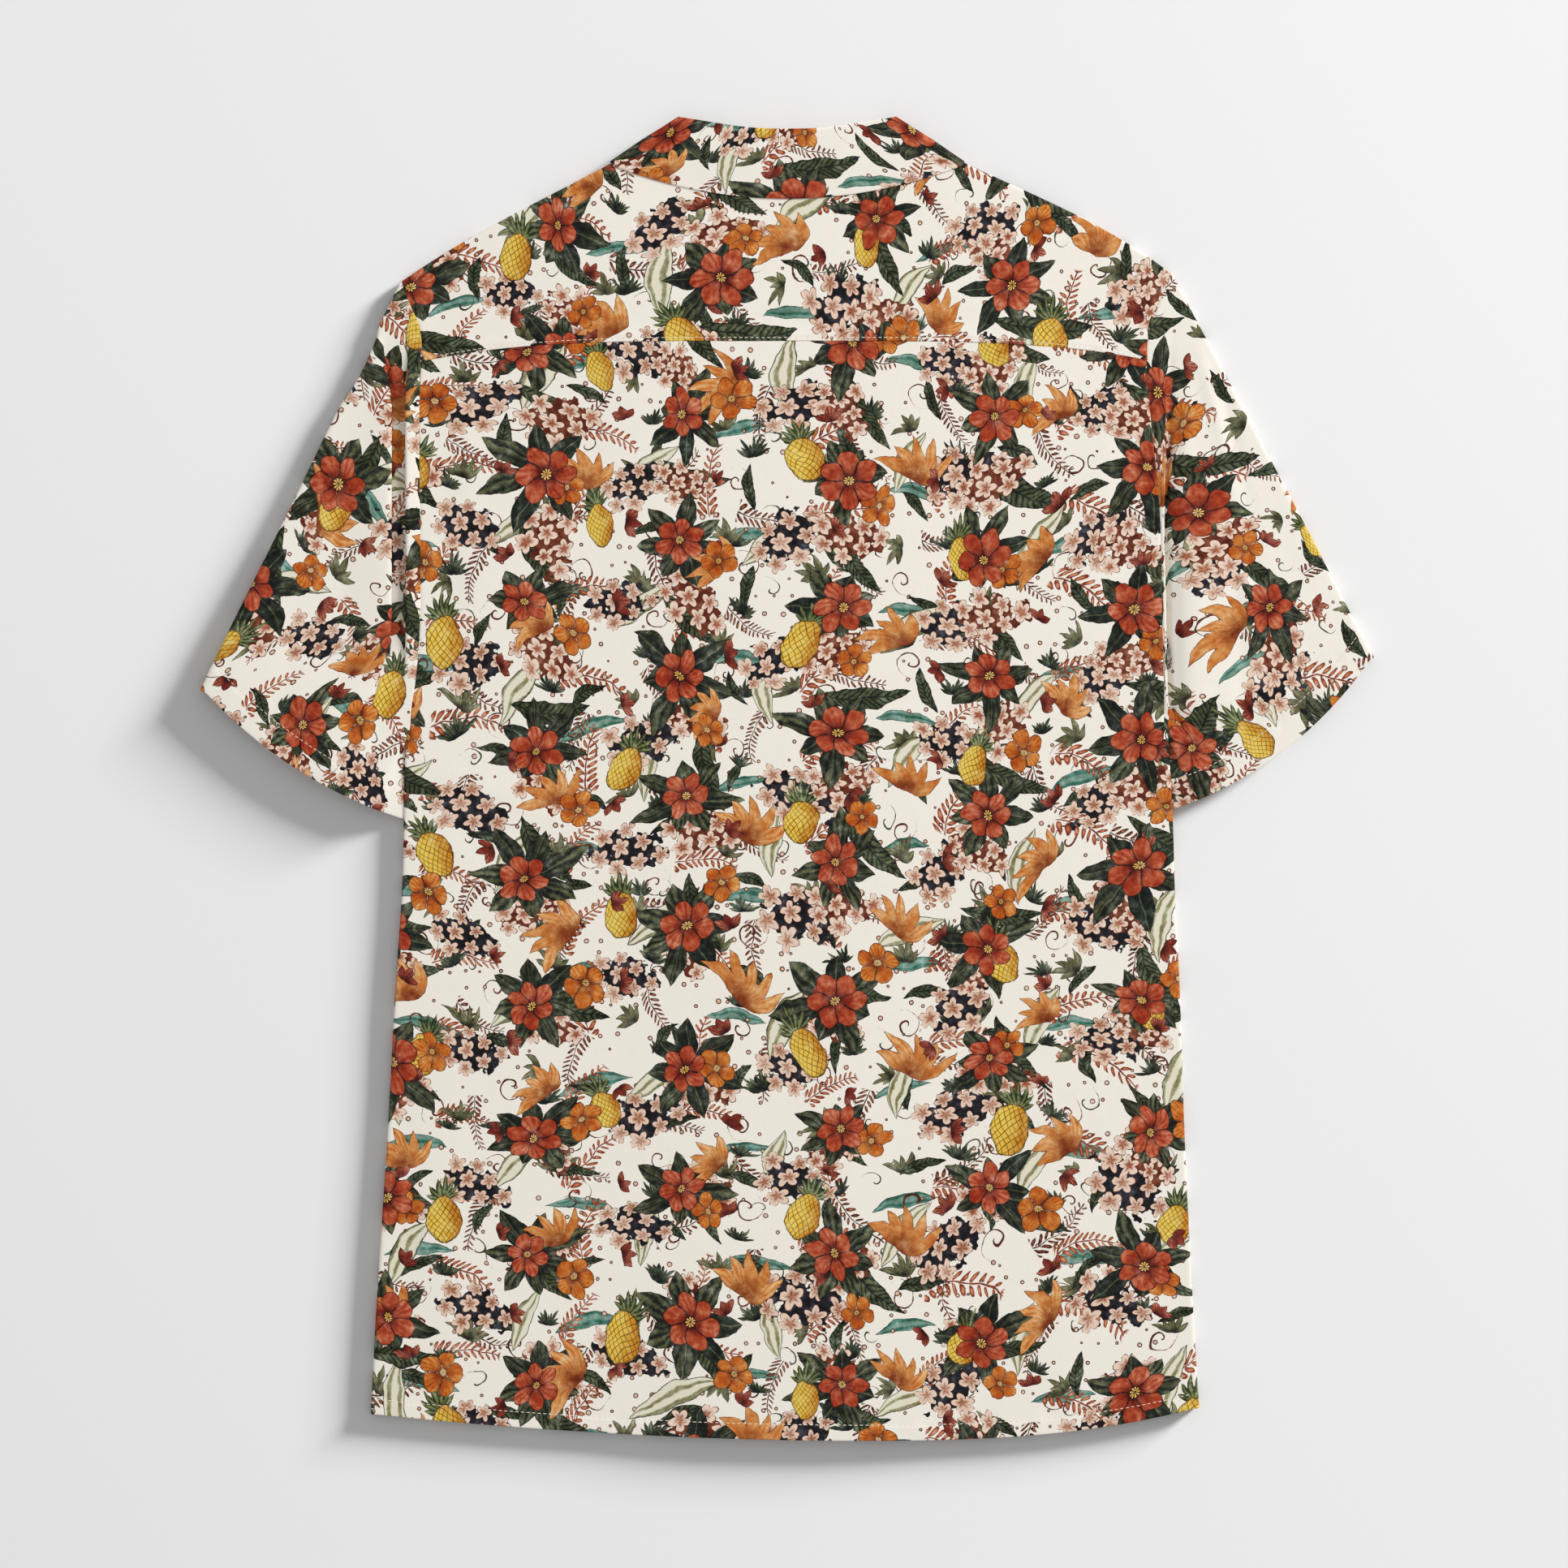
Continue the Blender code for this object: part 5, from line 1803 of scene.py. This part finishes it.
class Painting:
    """The cloth's colour, laid motif by motif, and the hand-drawn unevenness that they share."""

    def __init__(self, shader: Shader, ground: object) -> None:
        """Starts from the ground colour and works out the shared noises.

        Args:
            shader: the material's nodes.
            ground: the colour of the bare cloth.
        """
        self.shader, self.mix, self.colour = shader, shader.mix, ground
        cloth = shader.cloth()
        _, wide = shader.noise(cloth, 150.0, 1.0)
        _, near = shader.noise(cloth, 15.0, 1.0)
        self.cloth, self.mottle = cloth, near.parts()[2]
        drift = wide.math("MULTIPLY_ADD", (26.0, 26.0, 0.0), cloth)
        self.at = near.math("MULTIPLY_ADD", (4.6, 4.6, 0.0), drift)
        fine, _ = shader.noise(cloth, 2.6, 2.0)
        self.ragged = (fine - 0.5) * 1.5

    def lay(self, colour: object, mask: Value) -> None:
        """Paints a colour over the cloth where the mask is 1."""
        self.colour = self.mix(self.colour, colour, mask)

    def fill(self, colour: object, edge: Field, ink: Colour, ink_width: Pair) -> None:
        """Paints a shape with an inked outline, from the distance inside its edge."""
        colour = self.mix(ink, colour, edge.between(*ink_width))
        self.lay(colour, edge.between(-0.14, 0.14))

    def stroke(self, from_line: Field, half_width: Value) -> Field:
        """Mask of a brush stroke about a line, from the distance to it."""
        return (half_width - from_line + self.ragged * 0.35).between(-0.12, 0.16)


@dataclass(frozen=True)
class Whorl:
    """Petals or leaves that stand round a middle, all round or as a fan about its +Y side."""

    repeat: Repeat
    count: int
    reach: float
    breadth: float  # half a petal's width at its widest
    dark: Colour
    base: Colour
    light: Colour
    ink: Colour
    pointed: bool = True
    swirl: float = 0  # radians that a petal turns by on its way out
    fan: int | None = None  # petals to each side of the middle one, if it is a fan
    uneven: float = 0.35  # petals are shorter by up to this share
    lines: float = 26  # shading lines in each radian
    ink_width: float = 0.55
    rib: float = 0  # half width of each leaf's pale rib
    eye: float = 0  # radius of the pale middle

    def paint(self, painting: Painting) -> None:
        """Lays a petal in each equal sector of the bearing about the middle.

        It reaches as far as chance lets it. Its half width is a parabola of the way out, or an
        ellipse if it is round. What is left of that beside a point is its distance from the edge.

        Args:
            painting: what it is laid on.
        """
        place, chance, _ = self.repeat.spot(painting.at)
        x, y, _ = place.parts()
        away = place.away()
        step = math.tau / self.count if self.fan is None else 2.6 / (2 * self.fan + 1)
        bearing = x.math("ARCTAN2", y)
        if self.swirl:
            bearing = bearing + away * (self.swirl / self.reach)
        sector = bearing / step
        number = sector.math("ROUND")
        if self.fan is None:
            key = number % float(self.count)
        else:
            number = number.most(-self.fan).least(self.fan)
            key = number
        angle = (sector - number) * step
        chances = painting.shader.chances(painting.shader.place(key, chance), self.repeat.seed)
        random, _, other = chances.parts()
        reach = (1.0 - random * self.uneven) * self.reach
        ahead, side = away * angle.math("COSINE"), away * angle.sin()
        t = ahead / reach
        if self.pointed:
            side = abs(side)
            edge = t * (1.0 - t) * (4 * self.breadth) - side
        else:
            oval = painting.shader.place(side / self.breadth, (t - 0.56) / 0.44)
            beside = away * (step / 2 - abs(angle))
            edge = ((1.0 - oval.away()) * self.breadth).least(beside)
        edge = edge + painting.ragged * 0.5
        line = (angle * self.lines + painting.ragged * 2.2 + other * 9.0).sin() * 0.5 + 0.5
        shade = painting.mix(self.dark, self.base, t.between(0.05, 0.6))
        shade = painting.mix(shade, self.light, line * t.between(0.15, 0.85) * other)
        if self.rib:
            shade = painting.mix(shade, self.light, painting.stroke(side, self.rib) * 0.7)
        painting.fill(shade, edge, self.ink, (0.1, self.ink_width))
        if self.eye:
            dots = ((bearing * 9.0).sin() * 0.5 + 0.5) * (away * (2.6 / self.eye)).sin()
            painting.lay(self.ink, (self.eye * 1.15 - away).between(-0.8, 0.5) * 0.75)
            dots = dots.between(0.25, 0.6) * (self.eye - away).between(0, 0.3)
            painting.lay(srgb(233, 190, 104), dots)


@dataclass(frozen=True)
class Pod:
    """A long striped bud or leaf, pointed at both ends, its stripes along it."""

    repeat: Repeat
    reach: float  # half its length
    breadth: float  # half its width
    bend: float  # its line bows by this much
    pale: Colour
    stripe: Colour
    ink: Colour
    stripes: float = 3
    veins: float = 0  # radians in a millimetre along it, for slanting veins

    def paint(self, painting: Painting) -> None:
        """Lays the pod: half width by a parabola of the way along, stripes at shares of that.

        Args:
            painting: what it is laid on.
        """
        place, _, chance = self.repeat.spot(painting.at)
        x, y, _ = place.parts()
        left = 1.0 - (x * x) / self.reach ** 2
        side = y - left * self.bend
        out = abs(side)
        edge = left * self.breadth - out + painting.ragged * 0.5
        if self.veins:
            lines = ((x - out * 1.1) * self.veins + painting.ragged * 1.5).sin()
            lines = lines.most(painting.stroke(out, 0.5) * 2.0 - 1.0)
        else:
            share = side / (left * self.breadth).most(0.5)
            lines = (share * self.stripes + chance * 5.0 + painting.ragged * 0.8).sin()
        shade = painting.mix(self.pale, self.stripe, lines.between(-0.2, 0.9))
        painting.fill(shade, edge, self.ink, (0.15, 0.8))


@dataclass(frozen=True)
class Sprig:
    """A bowed stem with pairs of leaflets along it."""

    repeat: Repeat
    reach: float  # half its length
    bend: float
    pitch: float  # from pair to pair
    leaflet: Pair  # half width and half length of a leaflet
    colour: Colour
    tip: Colour
    stem: float = 0.45

    def paint(self, painting: Painting) -> None:
        """Lays the stem, and leaflets as slanted ellipses that repeat along it and shrink outwards.

        Args:
            painting: what it is laid on.
        """
        place, _, _ = self.repeat.spot(painting.at)
        x, y, _ = place.parts()
        left = 1.0 - (x * x) / self.reach ** 2
        out = abs(y - left * self.bend)
        within = left.between(0.0, 0.12)
        slant = (x - out * 0.75) / self.pitch
        along = (slant - slant.math("FLOOR") - 0.5) * self.pitch
        size = 1.05 - x * (0.35 / self.reach)
        oval = painting.shader.place(
            along / size / self.leaflet[0], (out / size - self.leaflet[1] - 0.5) / self.leaflet[1])
        edge = (1.0 - oval.away()) * self.leaflet[0] + painting.ragged * 0.4
        shade = painting.mix(self.colour, self.tip, edge.between(0.35, 0.9))
        painting.lay(shade, edge.between(-0.12, 0.14) * within)
        painting.lay(self.colour, painting.stroke(out, self.stem) * within)


@dataclass(frozen=True)
class Tendril:
    """A spiral brush stroke that thins towards its outer end."""

    repeat: Repeat
    reach: float
    pitch: float
    colour: Colour
    width: float = 0.75

    def paint(self, painting: Painting) -> None:
        """Lays the stroke: the distance out less the turn's share of the pitch is the same on it.

        Args:
            painting: what it is laid on.
        """
        place, _, _ = self.repeat.spot(painting.at)
        away = place.away()
        x, y, _ = place.parts()
        turn = away / self.pitch - y.math("ARCTAN2", x) / math.tau
        from_line = abs(turn - turn.math("FLOOR") - 0.5) * self.pitch
        fade = (self.reach - away).between(0.0, self.reach * 0.8)
        painting.lay(self.colour, painting.stroke(from_line, fade * (self.width + 0.5) - 0.5))


@dataclass(frozen=True)
class Pineapple:
    """A pineapple with a lattice over its body and a crown of narrow leaves."""

    repeat: Repeat
    body: Pair = (9.5, 13.5)
    yellow: Colour = srgb(236, 201, 88)
    shade: Colour = srgb(206, 142, 44)
    ink: Colour = srgb(74, 48, 26)
    leaf: Colour = srgb(52, 66, 44)
    leaf_light: Colour = srgb(128, 132, 84)

    def paint(self, painting: Painting) -> None:
        """Lays the crown's fan of parabolas, then the ellipse with crossing lines bent round it.

        Args:
            painting: what it is laid on.
        """
        place, _, _ = self.repeat.spot(painting.at)
        crown = place.math("SUBTRACT", (0.0, self.body[1] - 3.5, 0.0))
        crown_x, crown_y, _ = crown.parts()
        away = crown.away()
        bearing = crown_x.math("ARCTAN2", crown_y) / 0.34
        number = bearing.math("ROUND").most(-3.0).least(3.0)
        angle = (bearing - number) * 0.34
        t = away * angle.math("COSINE") / (17.0 - abs(number) * 1.9)
        side = abs(away * angle.sin())
        edge = t * (1.0 - t) * 6.4 - side + painting.ragged * 0.4
        green = painting.mix(self.leaf_light, self.leaf, (side + painting.ragged).between(0.1, 0.9))
        painting.lay(green, edge.between(-0.14, 0.14))
        oval = place.scaled((1 / self.body[0], 1 / self.body[1]))
        wide, long, _ = oval.parts()
        out = oval.away()
        edge = (1.0 - out) * self.body[0] + painting.ragged * 0.6
        bulge = wide * (1.0 + out * out * 0.25)
        first = ((bulge * 0.9 + long * 1.1) * 9.0).sin()
        second = ((bulge * 0.9 - long * 1.1) * 9.0).sin()
        lattice = abs(first).least(abs(second)) + painting.ragged * 0.14
        skin = painting.mix(self.yellow, self.shade, (wide + out * 0.5).between(-0.2, 1.3))
        skin = painting.mix(self.ink, skin, lattice.between(0.08, 0.42, 0.25, 1.0))
        painting.fill(skin, edge, self.ink, (0.1, 0.8))


@dataclass(frozen=True)
class Thicket:
    """Patches of small blossoms that stand close together over a dark or rusty ground."""

    repeat: Repeat
    patch: Pair  # half its length and half its width
    pitch: float  # from blossom to blossom
    reach: float  # of a blossom's petals
    ground: Colour
    petal: Colour
    inner: Colour
    ink: Colour
    count: int = 5

    def paint(self, painting: Painting) -> None:
        """Lays the ragged patch, then every small blossom whose middle lies inside the patch.

        Args:
            painting: what it is laid on.
        """
        shader = painting.shader
        place, _, _ = self.repeat.spot(painting.at)
        shrink = (1 / self.patch[0], 1 / self.patch[1])
        edge = 1.0 - place.scaled(shrink).away()
        rough, _ = shader.noise(painting.cloth, 8.0, 2.0)
        painting.lay(self.ground, (edge + rough * 1.3 - 0.92).between(0.0, 0.035))
        number, cells = place.cells((self.pitch, self.pitch))
        flower = cells.math("SUBTRACT", number).scaled(
            (self.pitch, self.pitch), (-self.pitch / 2, -self.pitch / 2))
        kept = 1.0 - place.math("SUBTRACT", flower).scaled(shrink).away()
        chance = shader.chances(number, self.repeat.seed)
        a, _, c = chance.parts()
        flower = chance.scaled((1.6, 1.6), (-0.8, -0.8)).math("ADD", flower)
        x, y, _ = flower.parts()
        away = flower.away()
        bearing = y.math("ARCTAN2", x) + c * 6.0
        petals = abs((bearing * (self.count / 2)).math("COSINE"))
        reach = (petals * 0.52 + 0.48) * (a * 0.25 + 0.85) * self.reach
        edge = reach - away + painting.ragged * 0.5
        shade = shader.mix(self.inner, self.petal, (away / self.reach).between(0.15, 0.55))
        vein = petals.between(1.0, 0.65, 1.0, 0.0) * (away / self.reach).between(0.75, 0.3)
        shade = shader.mix(shade, self.ink, vein * 0.55)
        shade = shader.mix(self.ink, shade, edge.between(0.15, 0.75))
        painting.lay(shade, edge.between(-0.12, 0.14) * kept.between(0.0, 0.02))


@dataclass(frozen=True)
class Berries:
    """Small ringed dots that are scattered over the ground."""

    pitch: float = 9.5
    radius: Pair = (0.8, 1.7)
    share: float = 0.45
    ink: Colour = srgb(84, 38, 28)
    pale: Colour = srgb(222, 190, 166)

    def paint(self, painting: Painting) -> None:
        """Lays discs about the middles of a scattered mosaic's cells, where chance allows.

        Args:
            painting: what it is laid on.
        """
        shader = painting.shader
        node = shader.node("TexVoronoi", {
            "Vector": painting.cloth, "Scale": 1.0 / self.pitch, "Randomness": 0.8},
            voronoi_dimensions="2D", feature="F1")
        away = Field(shader, node.outputs["Distance"]) * self.pitch
        size, kept, _ = shader.split(node.outputs["Color"])
        radius = size * (self.radius[1] - self.radius[0]) + self.radius[0]
        edge = radius - away + painting.ragged * 0.3
        shade = shader.mix(self.ink, self.pale, edge.between(0.45, 0.75))
        painting.lay(shade, edge.between(-0.1, 0.14) * kept.math("LESS_THAN", self.share))


CREAM = srgb(243, 237, 226)
INK = srgb(24, 24, 26)
UMBER = srgb(92, 42, 28)
RUST = srgb(142, 66, 40)
BLUSH = srgb(234, 205, 184)

MOTIFS = (
    # soft washes and strokes on the ground
    Pod(Repeat((96, 70), (40, 11), 1, 6, 0.1, 0.2), 21, 4, 3,
        srgb(120, 152, 138), srgb(62, 116, 100), srgb(78, 104, 98), 5),
    Tendril(Repeat((47, 53), (13, 31), 2, 6), 15, 7, UMBER, 0.6),
    Tendril(Repeat((59, 41), (37, 5), 2.3, 5), 12, 9, srgb(64, 66, 50), 0.55),
    Sprig(Repeat((72, 47), (8, 3), 3, 5, 0.4, 1.2), 21, 5, 4.2, (1.2, 2.5),
          RUST, srgb(204, 134, 98)),
    Sprig(Repeat((55, 63), (31, 40), 3.4, 5, -0.7, 1.5), 19, -4, 3.4, (0.85, 1.9),
          UMBER, srgb(190, 122, 92), 0.35),
    Berries(),
    # small dark fans, and single leaves
    Whorl(Repeat((58, 46), (22, 17), 4, 6, 0, 0.5, (0.8, 1.15)), 9, 14, 1.15,
          INK, srgb(44, 56, 44), srgb(128, 132, 96), INK, fan=4, uneven=0.5, ink_width=0.25),
    Whorl(Repeat((51, 62), (4, 33), 4.5, 6, 0.5, 1.2), 5, 17, 1.9,
          srgb(44, 46, 34), srgb(104, 104, 74), srgb(170, 166, 128), srgb(50, 46, 34), fan=2,
          uneven=0.5, swirl=0.5),
    Pod(Repeat((49, 57), (17, 9), 4.8, 7, 0.8, 1.4), 13, 3.4, 2.5,
        srgb(76, 82, 56), srgb(28, 38, 30), INK, veins=2.2),
    # cream and olive pods
    Pod(Repeat((74, 92), (51, 64), 5, 7, 1, 0.6), 24, 6.8, 4,
        srgb(229, 224, 202), srgb(146, 143, 106), srgb(40, 42, 34), 6.5),
    Pod(Repeat((88, 84), (12, 22), 6, 8, -0.7, 0.8), 27, 6.2, -5,
        srgb(78, 84, 56), srgb(28, 38, 30), INK, veins=1.7),
    # thickets of small blossoms
    Thicket(Repeat((92, 74), (66, 5), 7, 6, 0.2, 0.7), (28, 15), 12.2, 6.5,
            srgb(30, 30, 37), BLUSH, srgb(196, 144, 116), UMBER),
    Thicket(Repeat((86, 70), (3, 48), 8, 6, -0.3, 0.9), (24, 13), 11, 6,
            srgb(112, 54, 34), srgb(238, 212, 192), srgb(186, 118, 88), srgb(86, 36, 26)),
    # leaves behind the large blossoms
    Whorl(Repeat((88, 76), (0, 0), 9, 0), 7, 37, 6,
          INK, srgb(30, 38, 31), srgb(106, 108, 78), INK, uneven=0.45, rib=0.3, lines=30),
    # lilies
    Whorl(Repeat((97, 88), (30, 55), 10, 9, 0, 1), 7, 29, 3.9,
          srgb(134, 64, 28), srgb(204, 132, 68), srgb(234, 184, 124), srgb(104, 50, 26), fan=2,
          uneven=0.3, swirl=0.7, lines=34),
    Pineapple(Repeat((108, 112), (75, 90), 11, 14, 0, 0.45)),
    # buds and small orange blossoms, then the large ones
    Whorl(Repeat((63, 55), (10, 30), 11.5, 7), 5, 10.5, 2.5,
          srgb(72, 22, 18), srgb(124, 44, 30), srgb(200, 128, 100), srgb(62, 22, 18), fan=1,
          uneven=0.2),
    Whorl(Repeat((86, 94), (20, 42), 12, 10), 5, 13, 4.9,
          srgb(132, 58, 22), srgb(190, 100, 32), srgb(218, 148, 70), srgb(92, 44, 22),
          pointed=False, uneven=0.12, ink_width=0.7, eye=1.9),
    Whorl(Repeat((88, 76), (0, 0), 13, 3), 6, 17.2, 5.5,
          srgb(92, 22, 22), srgb(170, 70, 38), srgb(204, 120, 90), srgb(62, 22, 20),
          pointed=False, uneven=0.12, swirl=0.25, lines=22, ink_width=0.7, eye=2.7),
)


# ---- the finishes


@dataclass(frozen=True)
class PrintedCotton:
    """Plain-woven cotton with a printed face and a paler reverse."""

    roughness: float = 0.82
    gloss: float = 0.22
    thread: float = 0.45  # from thread to thread
    relief: float = 0.05  # of the weave
    show_through: float = 0.45  # share of the print that shows on the reverse

    def material(self) -> Material:
        """Makes the material.

        Returns:
            The material.
        """
        shader = Shader("printed_cotton")
        painting = Painting(shader, CREAM)
        for motif in MOTIFS:
            motif.paint(painting)
        pools, _ = shader.noise(painting.cloth, 5.5, 3.0, 0.65)
        light = Field(shader, shader.node("RGBToBW", {0: painting.colour}).outputs[0])
        inked = light.between(0.75, 0.4, 0.12, 1.0)
        depth = ((pools - 0.5) * 1.6 + (painting.mottle - 0.5) * 0.7) * inked + 1.05
        washed = shader.node("Gamma", {"Color": painting.colour, "Gamma": depth})
        reverse = shader.node("Attribute", {}, attribute_name=REVERSE)
        colour = shader.mix(washed.outputs[0], CREAM,
                            Field(shader, reverse.outputs["Fac"]) * (1.0 - self.show_through))
        x, y, _ = painting.cloth.parts()
        turn = math.tau / self.thread
        slub, _ = shader.noise(painting.cloth.scaled((1.0, 0.15)), 1.1, 1.0)
        weave = (x * turn).sin() * (y * turn).sin() * 0.5 + slub
        bump = shader.node("Bump", {
            "Height": weave, "Distance": self.relief * METRES, "Strength": 0.6})
        return shader.finish({
            "Base Color": colour, "Roughness": self.roughness, "Specular IOR Level": self.gloss,
            "Normal": bump.outputs[0]})


@dataclass(frozen=True)
class Plain:
    """A plain finish of one colour."""

    name: str
    colour: Colour
    roughness: float
    coat: float = 0

    def material(self) -> Material:
        """Makes the material."""
        return Shader(self.name).finish(
            {"Base Color": self.colour, "Roughness": self.roughness, "Coat Weight": self.coat})


# ---- light and camera


@dataclass(frozen=True)
class Window:
    """A soft square light that faces the shirt's middle."""

    name: str
    azimuth: float  # degrees from +X towards +Y
    elevation: float  # degrees above the table
    away: float
    size: float
    power: float

    def build(self, lit: Sequence[Object]) -> None:
        """Makes the light, which shines on these objects alone and is blocked by everything.

        Args:
            lit: the objects that it lights.
        """
        data = bpy.data.lights.new(self.name, "AREA")
        data.shape, data.size, data.energy = "SQUARE", self.size, self.power
        obj = linked(self.name, data)
        azimuth, elevation = math.radians(self.azimuth), math.radians(self.elevation)
        level = self.away * math.cos(elevation)
        obj.location = (level * math.cos(azimuth), level * math.sin(azimuth),
                        self.away * math.sin(elevation))
        obj.rotation_euler = (math.pi / 2 - elevation, 0, azimuth + math.pi / 2)
        receivers = bpy.data.collections.new(f"{self.name}_lights")
        for piece in lit:
            receivers.objects.link(piece)
        obj.light_linking.receiver_collection = receivers


@dataclass(frozen=True)
class Studio:
    """A pale floor, a window for the cloth, a lower one for the floor, and a camera above."""

    floor_colour: Colour = srgb(209, 209, 209)
    aim: Pair = (-1.9, -3.3)
    width: float = 917.7
    lens: float = 85
    sensor: float = 36
    sky: float = 0.54
    floor_drop: float = 0.03  # so that the cloth's underside never shares its plane
    for_cloth: Window = Window("window", 38, 36, 6, 2.2, 252)
    for_floor: Window = Window("low_window", 35, 11.5, 12, 2.4, 5300)

    def floor(self) -> Object:
        """A plain floor under the shirt.

        Returns:
            The floor.
        """
        reach, down = 6.0, -self.floor_drop * METRES
        corners = [(x * reach, y * reach, down) for x, y in ((-1, -1), (1, -1), (1, 1), (-1, 1))]
        mesh = bpy.data.meshes.new("floor")
        mesh.from_pydata(corners, [], [(0, 1, 2, 3)])
        mesh.materials.append(Plain("floor_paper", self.floor_colour, 0.9).material())
        obj = linked("floor", mesh)
        return obj

    def camera(self) -> None:
        """A long lens straight above the shirt."""
        data = bpy.data.cameras.new("camera")
        data.lens, data.sensor_width, data.sensor_fit = self.lens, self.sensor, "HORIZONTAL"
        data.clip_start, data.clip_end = 0.1, 20
        obj = linked("camera", data)
        distance = self.width * self.lens / self.sensor
        obj.location = (self.aim[0] * METRES, self.aim[1] * METRES, distance * METRES)
        bpy.context.scene.camera = obj

    def world(self) -> None:
        """An even white sky, and colours shown as they are."""
        world = bpy.data.worlds.new("sky")
        world.use_nodes = True
        background = world.node_tree.nodes["Background"]
        background.inputs["Color"].default_value = (1, 1, 1, 1)
        background.inputs["Strength"].default_value = self.sky
        bpy.context.scene.world = world
        bpy.context.scene.view_settings.view_transform = "Standard"

    def build(self) -> None:
        """Sets up the floor, the camera and the lights."""
        pieces = [obj for obj in bpy.context.scene.objects if obj.type == "MESH"]
        floor = self.floor()
        self.camera()
        self.world()
        self.for_cloth.build(pieces)
        self.for_floor.build([floor])


# ---- the shirt


def main() -> None:
    """Builds every piece, writes the sizes and sets up the studio."""
    logging.basicConfig(level=logging.INFO, format="%(message)s")
    cotton = PrintedCotton().material()
    thread = Plain("cream_thread", srgb(236, 226, 203), 0.7).material()
    shell = Plain("button_shell", srgb(226, 218, 200), 0.3, 0.3).material()
    BackPanel().build(cotton, thread)
    Yoke().build(cotton, thread)
    for sleeve in SLEEVES:
        sleeve.build(cotton, thread)
    for front in FRONTS:
        front.build(cotton)
    Collar().build(cotton)
    Buttons().build(shell, thread)
    Studio().build()


if __name__ == "__main__":
    main()
